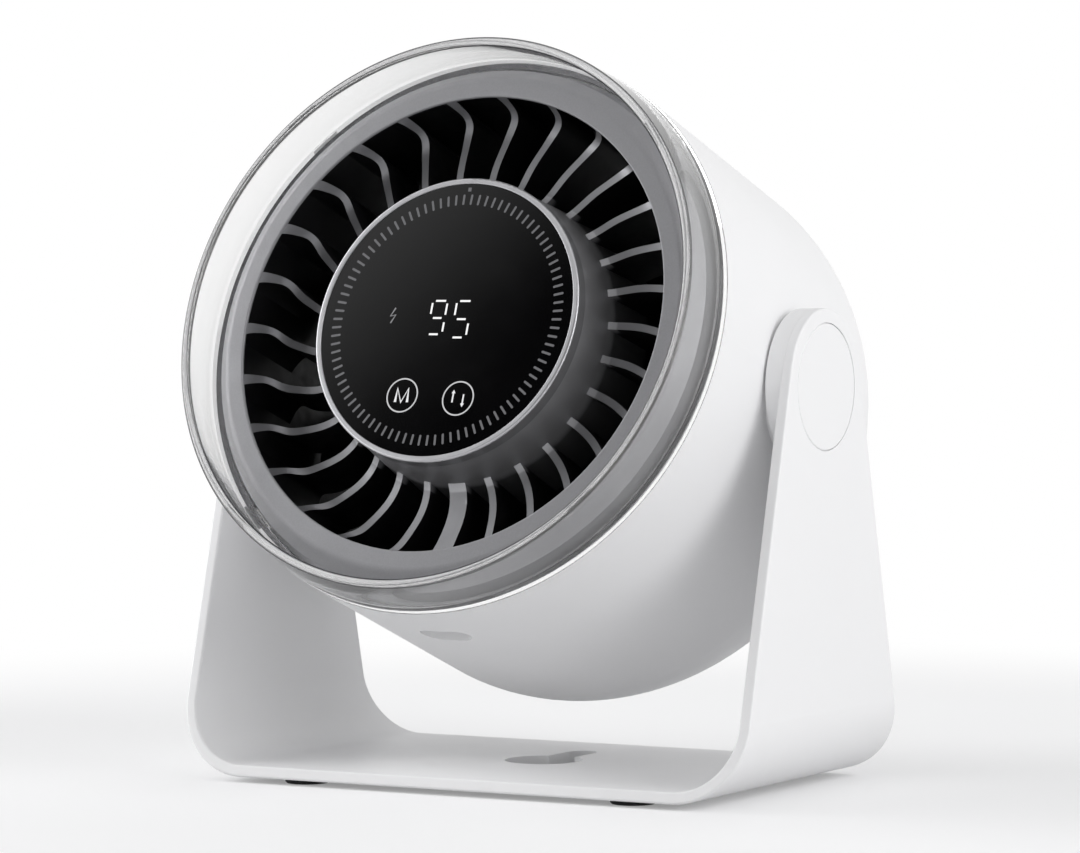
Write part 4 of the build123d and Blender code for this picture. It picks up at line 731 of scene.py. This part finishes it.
def circle_points(middle, radius):
    """Points of a circle on the display."""
    turns = [2 * math.pi * k / CIRCLE_STEPS for k in range(CIRCLE_STEPS)]
    return [(middle[0] + radius * math.cos(t), middle[1] + radius * math.sin(t)) for t in turns]


def moved(points, place):
    """Points drawn about the origin, moved to a place on the display."""
    return [(x + place[0], v + place[1]) for x, v in points]


def digit_lines(digit, left, right, top, middle, bottom):
    """Centre lines of a digit's lit segments."""
    corners = {
        "a": ((left, top), (right, top)), "b": ((right, top), (right, middle)),
        "c": ((right, middle), (right, bottom)), "d": ((left, bottom), (right, bottom)),
        "f": ((left, top), (left, middle)), "g": ((left, middle), (right, middle))}
    drawn = []
    for segment in LIT_SEGMENTS[digit]:
        start, end = (Vector(corner) for corner in corners[segment])
        along = (end - start).normalized()
        start_gap, end_gap = SEGMENT_GAPS[segment]
        drawn.append(((start + start_gap * along, end - end_gap * along), False))
    return drawn


def ring_of_bars_tree():
    """Geometry nodes: round-cornered bars, evenly spaced on a circle and pointing at its middle."""
    tree = bpy.data.node_groups.new("ring_of_bars", "GeometryNodeTree")
    kinds = {
        "Count": "NodeSocketInt", "Radius": "NodeSocketFloat", "Length": "NodeSocketFloat",
        "Width": "NodeSocketFloat", "Height": "NodeSocketFloat", "Material": "NodeSocketMaterial"}
    for name, kind in kinds.items():
        tree.interface.new_socket(name, in_out="INPUT", socket_type=kind)
    tree.interface.new_socket("Geometry", in_out="OUTPUT", socket_type="NodeSocketGeometry")
    sizes = add_node(tree, "NodeGroupInput").outputs
    corner = add_node(tree, "ShaderNodeMath", {0: sizes["Width"], 1: TICK_CORNER}, operation="MULTIPLY")
    outline = add_node(tree, "GeometryNodeCurvePrimitiveQuadrilateral", {
        "Width": sizes["Length"], "Height": sizes["Width"]})
    rounded = add_node(tree, "GeometryNodeFilletCurve", {
        "Curve": outline.outputs[0], "Radius": corner.outputs[0], "Count": TICK_CORNER_STEPS}, mode="POLY")
    sheet = add_node(tree, "GeometryNodeFillCurve", {"Curve": rounded.outputs[0]}, mode="NGONS")
    rise = add_node(tree, "ShaderNodeCombineXYZ", {"Z": sizes["Height"]})
    top = add_node(tree, "GeometryNodeExtrudeMesh", {
        "Mesh": sheet.outputs[0], "Offset": rise.outputs[0], "Offset Scale": 1.0})
    under = add_node(tree, "GeometryNodeFlipFaces", {"Mesh": sheet.outputs[0]})
    joined = add_node(tree, "GeometryNodeJoinGeometry")
    tree.links.new(top.outputs[0], joined.inputs[0])
    tree.links.new(under.outputs[0], joined.inputs[0])
    bar = add_node(tree, "GeometryNodeMergeByDistance", {
        "Geometry": joined.outputs[0], "Distance": SAME_PLACE})
    ring = add_node(tree, "GeometryNodeMeshCircle", {"Vertices": sizes["Count"], "Radius": sizes["Radius"]})
    outward = add_node(tree, "FunctionNodeAlignRotationToVector", {
        "Vector": add_node(tree, "GeometryNodeInputPosition").outputs[0]}, axis="X", pivot_axis="Z")
    bars = add_node(tree, "GeometryNodeInstanceOnPoints", {
        "Points": ring.outputs[0], "Instance": bar.outputs[0], "Rotation": outward.outputs[0]})
    real = add_node(tree, "GeometryNodeRealizeInstances", {"Geometry": bars.outputs[0]})
    dressed = add_node(tree, "GeometryNodeSetMaterial", {
        "Geometry": real.outputs[0], "Material": sizes["Material"]})
    add_node(tree, "NodeGroupOutput", {0: dressed.outputs[0]})
    return tree


def grown(name, tree, values):
    """A geometry-nodes tree evaluated with the given inputs, as a plain mesh object."""
    source = add_object(name, bpy.data.meshes.new(name))
    modifier = source.modifiers.new(name, "NODES")
    modifier.node_group = tree
    for item in tree.interface.items_tree:
        if item.name in values:
            modifier[item.identifier] = values[item.name]
    return plain_mesh(name, source)


# ---------------------------------------------------------------- operators
class FanOperator:
    """What all of the fan's operators share."""

    bl_options = {"REGISTER", "UNDO"}


class FAN_OT_bracket_and_shell(FanOperator, bpy.types.Operator):
    """Finish the bracket, its caps, the drum and the intake grille in white ABS"""

    bl_idname = "fan.bracket_and_shell"
    bl_label = "Bracket and shell"

    def execute(self, context):
        colours = context.scene.fan_colours
        white = moulded_white_abs(colours.shell)
        dress(white, "stand_bracket", "pivot_caps", "rear_housing", "intake_grille")
        return {"FINISHED"}


class FAN_OT_feet_and_discs(FanOperator, bpy.types.Operator):
    """Finish the rubber feet, the touch pads and the friction discs"""

    bl_idname = "fan.feet_and_discs"
    bl_label = "Feet, pads and friction discs"

    def execute(self, context):
        dress(moulded_rubber(), "stand_feet", "touch_pads")
        dress(pressed_fibre(), "friction_discs")
        return {"FINISHED"}


class FAN_OT_clear_ring(FanOperator, bpy.types.Operator):
    """Turn the clear front ring finely enough for its edges to bend the light in clean lines"""

    bl_idname = "fan.clear_ring"
    bl_label = "Clear ring"

    def execute(self, context):
        section = context.scene.fan_ring
        clear = polished_clear_acrylic(RING_FRONT - section.wall / 2)
        dress(clear, "clear_ring")
        ring = turned_ring("turned_clear_ring", section)
        ring.data.materials.append(clear)
        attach(ring, "head")
        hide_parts("clear_ring")
        return {"FINISHED"}


class FAN_OT_bezel_and_vanes(FanOperator, bpy.types.Operator):
    """Finish the bezel and the front grille with its guide vanes"""

    bl_idname = "fan.bezel_and_vanes"
    bl_label = "Bezel and guide vanes"

    def execute(self, context):
        colours = context.scene.fan_colours
        dress(silver_lacquered_abs(colours.bezel), "front_bezel")
        dress(front_sprayed_black_abs(colours.vanes, colours.hub, colours.dark), "front_grille")
        return {"FINISHED"}


class FAN_OT_display(FanOperator, bpy.types.Operator):
    """Finish the display's rim and its smoked lens"""

    bl_idname = "fan.display"
    bl_label = "Display rim and lens"

    def execute(self, context):
        colours = context.scene.fan_colours
        dress(satin_silver_ring(colours.rim, colours.rim_side_shade), "display_rim")
        dress(smoked_acrylic(colours.lens), "display_lens")
        return {"FINISHED"}


class FAN_OT_tick_ring(FanOperator, bpy.types.Operator):
    """Make the ring of ticks and the small mark above it"""

    bl_idname = "fan.tick_ring"
    bl_label = "Ring of ticks"

    def execute(self, context):
        colours = context.scene.fan_colours
        sizes = context.scene.fan_display
        dim = lit_mark("dim_lit_ticks", colours.ticks, 0.12)
        ticks = grown("tick_ring", ring_of_bars_tree(), {
            "Count": sizes.tick_count, "Radius": sizes.tick_ring, "Length": sizes.tick_length,
            "Width": sizes.tick_width, "Height": 2 * sizes.tick_rise, "Material": dim})
        lay_on_display(ticks, dim, sunk=sizes.tick_rise)
        draw_on_display("top_mark", [(TOP_MARK, False)], sizes.top_stroke, sizes.line_rise, dim)
        return {"FINISHED"}


class FAN_OT_digits(FanOperator, bpy.types.Operator):
    """Make the two lit digits"""

    bl_idname = "fan.digits"
    bl_label = "Digits"

    def execute(self, context):
        colours = context.scene.fan_colours
        sizes = context.scene.fan_display
        lit = lit_mark("lit_digits", colours.digits, 0.02)
        lines = [line for digit in DIGITS for line in digit_lines(*digit)]
        draw_on_display("speed_digits", lines, sizes.digit_stroke, sizes.line_rise, lit)
        return {"FINISHED"}


class FAN_OT_touch_marks(FanOperator, bpy.types.Operator):
    """Make the two touch marks in their circles and the charge mark"""

    bl_idname = "fan.touch_marks"
    bl_label = "Touch marks"

    def execute(self, context):
        colours = context.scene.fan_colours
        sizes = context.scene.fan_display
        radius = sizes.circle_radius / MM
        circles = [(circle_points(place, radius), True) for place in (MODE_MARK, SWING_MARK)]
        letter = [(moved(MODE_LETTER, MODE_MARK), False)]
        arrows = [(moved(line, SWING_MARK), closed) for line, closed in SWING_SIGN]
        lit = lit_mark("lit_touch_marks", colours.circles, 0.05)
        bright = lit_mark("lit_signs", colours.signs, 0.03)
        dim = lit_mark("dim_charge_mark", colours.charge, 0.1)
        draw_on_display("mark_circles", circles, sizes.circle_stroke, sizes.line_rise, lit)
        draw_on_display("mode_sign", letter, sizes.letter_stroke, sizes.line_rise, bright)
        draw_on_display("swing_sign", arrows, sizes.sign_stroke, sizes.line_rise, bright)
        draw_on_display("charge_mark", [(CHARGE_MARK, False)], sizes.sign_stroke, sizes.line_rise, dim)
        return {"FINISHED"}


class FAN_OT_impeller(FanOperator, bpy.types.Operator):
    """Finish the impeller, the duct's shroud and the battery's case"""

    bl_idname = "fan.impeller"
    bl_label = "Impeller and duct"

    def execute(self, context):
        colours = context.scene.fan_colours
        dress(moulded_black_nylon(colours.dark), "impeller", "duct_shroud", "battery_pod")
        return {"FINISHED"}


class FAN_OT_motor(FanOperator, bpy.types.Operator):
    """Finish the motor's parts"""

    bl_idname = "fan.motor"
    bl_label = "Motor"

    def execute(self, context):
        dress(ground_steel(), "motor_shaft", "shaft_clip", "motor_bearings")
        dress(stacked_electrical_steel(), "stator_core")
        dress(pressed_ferrite(), "rotor_magnets")
        dress(enamelled_copper_wire(), "stator_windings")
        dress(cast_aluminium(), "motor_base")
        return {"FINISHED"}


class FAN_OT_boards(FanOperator, bpy.types.Operator):
    """Finish the boards and the light guides"""

    bl_idname = "fan.boards"
    bl_label = "Boards and light guides"

    def execute(self, context):
        dress(solder_masked_board(), "display_board", "control_board", "charge_board")
        dress(milky_polycarbonate(), "segment_block", "tick_light_ring")
        return {"FINISHED"}


class FAN_OT_battery(FanOperator, bpy.types.Operator):
    """Finish the cells and their contacts"""

    bl_idname = "fan.battery"
    bl_label = "Battery cells"

    def execute(self, context):
        dress(shrink_sleeve(), "battery_cells")
        dress(rolled_nickel(), "battery_contacts")
        return {"FINISHED"}


class FAN_OT_fasteners(FanOperator, bpy.types.Operator):
    """Finish the screws, washers, hubs, nut, bell and charging socket in plated steel"""

    bl_idname = "fan.fasteners"
    bl_label = "Fasteners and steel parts"

    def execute(self, context):
        steel = zinc_plated_steel()
        dress(steel, "board_screws", "motor_screws", "intake_screws", "pod_screws", "hub_screws")
        dress(steel, "pivot_screws", "pivot_washers", "pivot_hubs", "impeller_nut", "rotor_bell")
        dress(steel, "charge_socket")
        return {"FINISHED"}


# ---------------------------------------------------------------- stage
# The photograph's width and its camera's focal length in pixels, and the sensor's width in millimetres
IMAGE_W = 1080
FOCAL_PX = 4401.25
SENSOR_W = 36
# The camera's place, and its turns about the vertical, the level and the line of sight, in degrees
CAMERA_AT = (0.58916, -1.02535, 0.13604)
CAMERA_YAW = 30.01
CAMERA_PITCH = -2.03
CAMERA_ROLL = -0.25
# Soft boxes, each aimed at the fan's middle: width, height and place
FAN_MIDDLE = (0, 0, 0.1)
SOFT_BOXES = {
    "left_lamp": (1.0, 1.2, (-1.66, -0.36, 0.82)),
    "right_lamp": (1.0, 1.4, (1.7, -0.2, 0.75)),
    "front_lamp": (1.0, 0.8, (-1.42, -1.27, 0.57)),
}
# Light that the floor near the fan adds, and where the floor starts to turn white and is all white
FLOOR_GLOW = 0.25
FADE_STARTS, FADE_ENDS = 0.24, 0.45
# The unlit side of the studio, in front of the fan, which its glosses reflect: the way to its middle, the
# cosines of the angles from there where it ends and where all is white paper, and how bright it is
DARK_SIDE = (0.09, -0.98, 0.14)
DARK_ENDS, ALL_PAPER = 0.690, 0.648
DARK_LEVEL = 0.02
# White paper that light has met at least for each pass through the clear ring's skin
PAPER_PER_PASS = 0.45


def seen_share(tree):
    """1 for what the camera, a gloss or a clear piece sees, 0 for what lights the object."""
    path = add_node(tree, "ShaderNodeLightPath").outputs
    first = add_node(tree, "ShaderNodeMath", {
        0: path["Is Camera Ray"], 1: path["Is Glossy Ray"]}, operation="MAXIMUM")
    second = add_node(tree, "ShaderNodeMath", {
        0: first.outputs[0], 1: path["Is Transmission Ray"]}, operation="MAXIMUM")
    return second.outputs[0]


def seamless_paper(colour):
    """Matt paper, rolled out: pale, evenly lit to white away from the fan, with the fan's soft shadow."""
    material, tree, shader = new_finish("seamless_paper", {"IOR": 1.45, "Specular IOR Level": 0.1})
    place = object_place(tree)
    drive(tree, shader, "Base Color", varied_colour(tree, place, 1.5, colour, 0.01))
    drive(tree, shader, "Roughness", varied_roughness(tree, place, 3, 0.85, 0.95))
    glow = add_node(tree, "ShaderNodeEmission", {"Color": WHITE, "Strength": FLOOR_GLOW})
    lit = add_node(tree, "ShaderNodeAddShader", {0: shader.outputs[0], 1: glow.outputs[0]})
    white = add_node(tree, "ShaderNodeEmission", {"Color": WHITE, "Strength": 1.0})
    distance = add_node(tree, "ShaderNodeVectorMath", {0: place}, operation="LENGTH")
    away = add_node(tree, "ShaderNodeMapRange", {
        "Value": distance.outputs["Value"], "From Min": FADE_STARTS, "From Max": FADE_ENDS},
        interpolation_type="SMOOTHSTEP")
    near = add_node(tree, "ShaderNodeMixShader", {
        0: away.outputs["Result"], 1: lit.outputs[0], 2: white.outputs[0]})
    both = add_node(tree, "ShaderNodeMixShader", {
        0: seen_share(tree), 1: shader.outputs[0], 2: near.outputs[0]})
    tree.links.new(both.outputs[0], tree.nodes["Material Output"].inputs["Surface"])
    return material


def soft_box(name, power, width, height, at):
    """Area lamp that looks at the fan's middle."""
    data = bpy.data.lights.new(name, "AREA")
    data.shape = "RECTANGLE"
    data.size = width
    data.size_y = height
    data.energy = power
    lamp = add_object(name, data)
    lamp.location = at
    lamp.rotation_euler = (Vector(FAN_MIDDLE) - Vector(at)).to_track_quat("-Z", "Y").to_euler()


def photo_camera():
    """The camera at the photograph's place, from the solved view."""
    yaw, pitch, roll = (math.radians(d) for d in (CAMERA_YAW, CAMERA_PITCH, CAMERA_ROLL))
    ahead = Vector((-math.sin(yaw) * math.cos(pitch), math.cos(yaw) * math.cos(pitch), math.sin(pitch)))
    level = Vector((math.cos(yaw), math.sin(yaw), 0))
    above = level.cross(ahead)
    right = math.cos(roll) * level + math.sin(roll) * above
    up = math.cos(roll) * above - math.sin(roll) * level
    data = bpy.data.cameras.new("photo_camera")
    data.sensor_width = SENSOR_W
    data.lens = FOCAL_PX / IMAGE_W * SENSOR_W
    data.clip_start = 0.05
    data.clip_end = 50
    camera = add_object("photo_camera", data)
    camera.matrix_world = Matrix.Translation(CAMERA_AT) @ Matrix((right, up, -ahead)).transposed().to_4x4()
    return camera


def studio_surroundings(strength):
    """World: white to the camera, to glosses and to clear pieces, and a plain level of light otherwise."""
    world = bpy.data.worlds.new("studio")
    world.use_nodes = True
    tree = world.node_tree
    tree.nodes.clear()
    light = add_node(tree, "ShaderNodeBackground", {"Color": WHITE, "Strength": strength})
    towards = add_node(tree, "ShaderNodeTexCoord").outputs["Generated"]
    ahead = add_node(tree, "ShaderNodeVectorMath", {
        0: towards, 1: Vector(DARK_SIDE).normalized()}, operation="DOT_PRODUCT")
    paper = add_node(tree, "ShaderNodeMapRange", {
        "Value": ahead.outputs["Value"], "From Min": DARK_ENDS, "From Max": ALL_PAPER,
        "To Min": DARK_LEVEL, "To Max": 1.0}, interpolation_type="SMOOTHSTEP")
    path = add_node(tree, "ShaderNodeLightPath").outputs
    # Light that has come through the clear ring has met more of the white paper.
    through = add_node(tree, "ShaderNodeMath", {
        0: path["Transmission Depth"], 1: PAPER_PER_PASS}, operation="MULTIPLY", use_clamp=True)
    lifted = add_node(tree, "ShaderNodeMath", {
        0: paper.outputs["Result"], 1: through.outputs[0]}, operation="MAXIMUM")
    level = add_node(tree, "ShaderNodeMix", {
        0: path["Is Glossy Ray"], NUMBER_A: 1.0, NUMBER_B: lifted.outputs[0]}, data_type="FLOAT")
    seen = add_node(tree, "ShaderNodeBackground", {"Color": WHITE, "Strength": level.outputs[0]})
    either = add_node(tree, "ShaderNodeMixShader", {
        0: seen_share(tree), 1: light.outputs[0], 2: seen.outputs[0]})
    add_node(tree, "ShaderNodeOutputWorld", {"Surface": either.outputs[0]})
    return world


class FAN_OT_stage(FanOperator, bpy.types.Operator):
    """Make the floor, the lamps, the surroundings and the camera"""

    bl_idname = "fan.stage"
    bl_label = "Photo stage"

    def execute(self, context):
        scene = context.scene
        stage = scene.fan_stage
        half = stage.floor_size / 2
        corners = [(-half, -half, 0), (half, -half, 0), (half, half, 0), (-half, half, 0)]
        mesh = bpy.data.meshes.new("studio_floor")
        mesh.from_pydata(corners, [], [(0, 1, 2, 3)])
        mesh.materials.append(seamless_paper(stage.floor))
        add_object("studio_floor", mesh)
        for name, (width, height, at) in SOFT_BOXES.items():
            soft_box(name, getattr(stage, name), width, height, at)
        scene.world = studio_surroundings(stage.surroundings)
        scene.camera = photo_camera()
        scene.view_settings.view_transform = "Standard"
        return {"FINISHED"}


class FAN_PT_panel(bpy.types.Panel):
    """Sidebar panel with the fan's settings and steps"""

    bl_label = "Air circulator fan"
    bl_space_type = "VIEW_3D"
    bl_region_type = "UI"
    bl_category = "Fan"

    def draw(self, context):
        layout = self.layout
        for group in SETTINGS:
            settings = getattr(context.scene, group)
            box = layout.box()
            for name in settings.__annotations__:
                box.prop(settings, name)
        for step in STEPS:
            layout.operator(step.bl_idname)


STEPS = [
    FAN_OT_bracket_and_shell, FAN_OT_feet_and_discs, FAN_OT_clear_ring, FAN_OT_bezel_and_vanes,
    FAN_OT_display, FAN_OT_tick_ring, FAN_OT_digits, FAN_OT_touch_marks, FAN_OT_impeller, FAN_OT_motor,
    FAN_OT_boards, FAN_OT_battery, FAN_OT_fasteners, FAN_OT_stage,
]
SETTINGS = {
    "fan_colours": FanColours, "fan_ring": RingSizes, "fan_display": DisplaySizes,
    "fan_stage": StageSettings,
}


def register():
    """Registers the settings, the steps and the panel."""
    for group in SETTINGS.values():
        bpy.utils.register_class(group)
    for name, group in SETTINGS.items():
        setattr(bpy.types.Scene, name, bpy.props.PointerProperty(type=group))
    for step in STEPS:
        bpy.utils.register_class(step)
    bpy.utils.register_class(FAN_PT_panel)


def unregister():
    """Takes back what register did."""
    bpy.utils.unregister_class(FAN_PT_panel)
    for step in reversed(STEPS):
        bpy.utils.unregister_class(step)
    for name, group in SETTINGS.items():
        delattr(bpy.types.Scene, name)
        bpy.utils.unregister_class(group)


def main():
    """Makes everything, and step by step."""
    register()
    for step in STEPS:
        group, name = step.bl_idname.split(".")
        getattr(getattr(bpy.ops, group), name)()


if __name__ == "__main__":
    main()
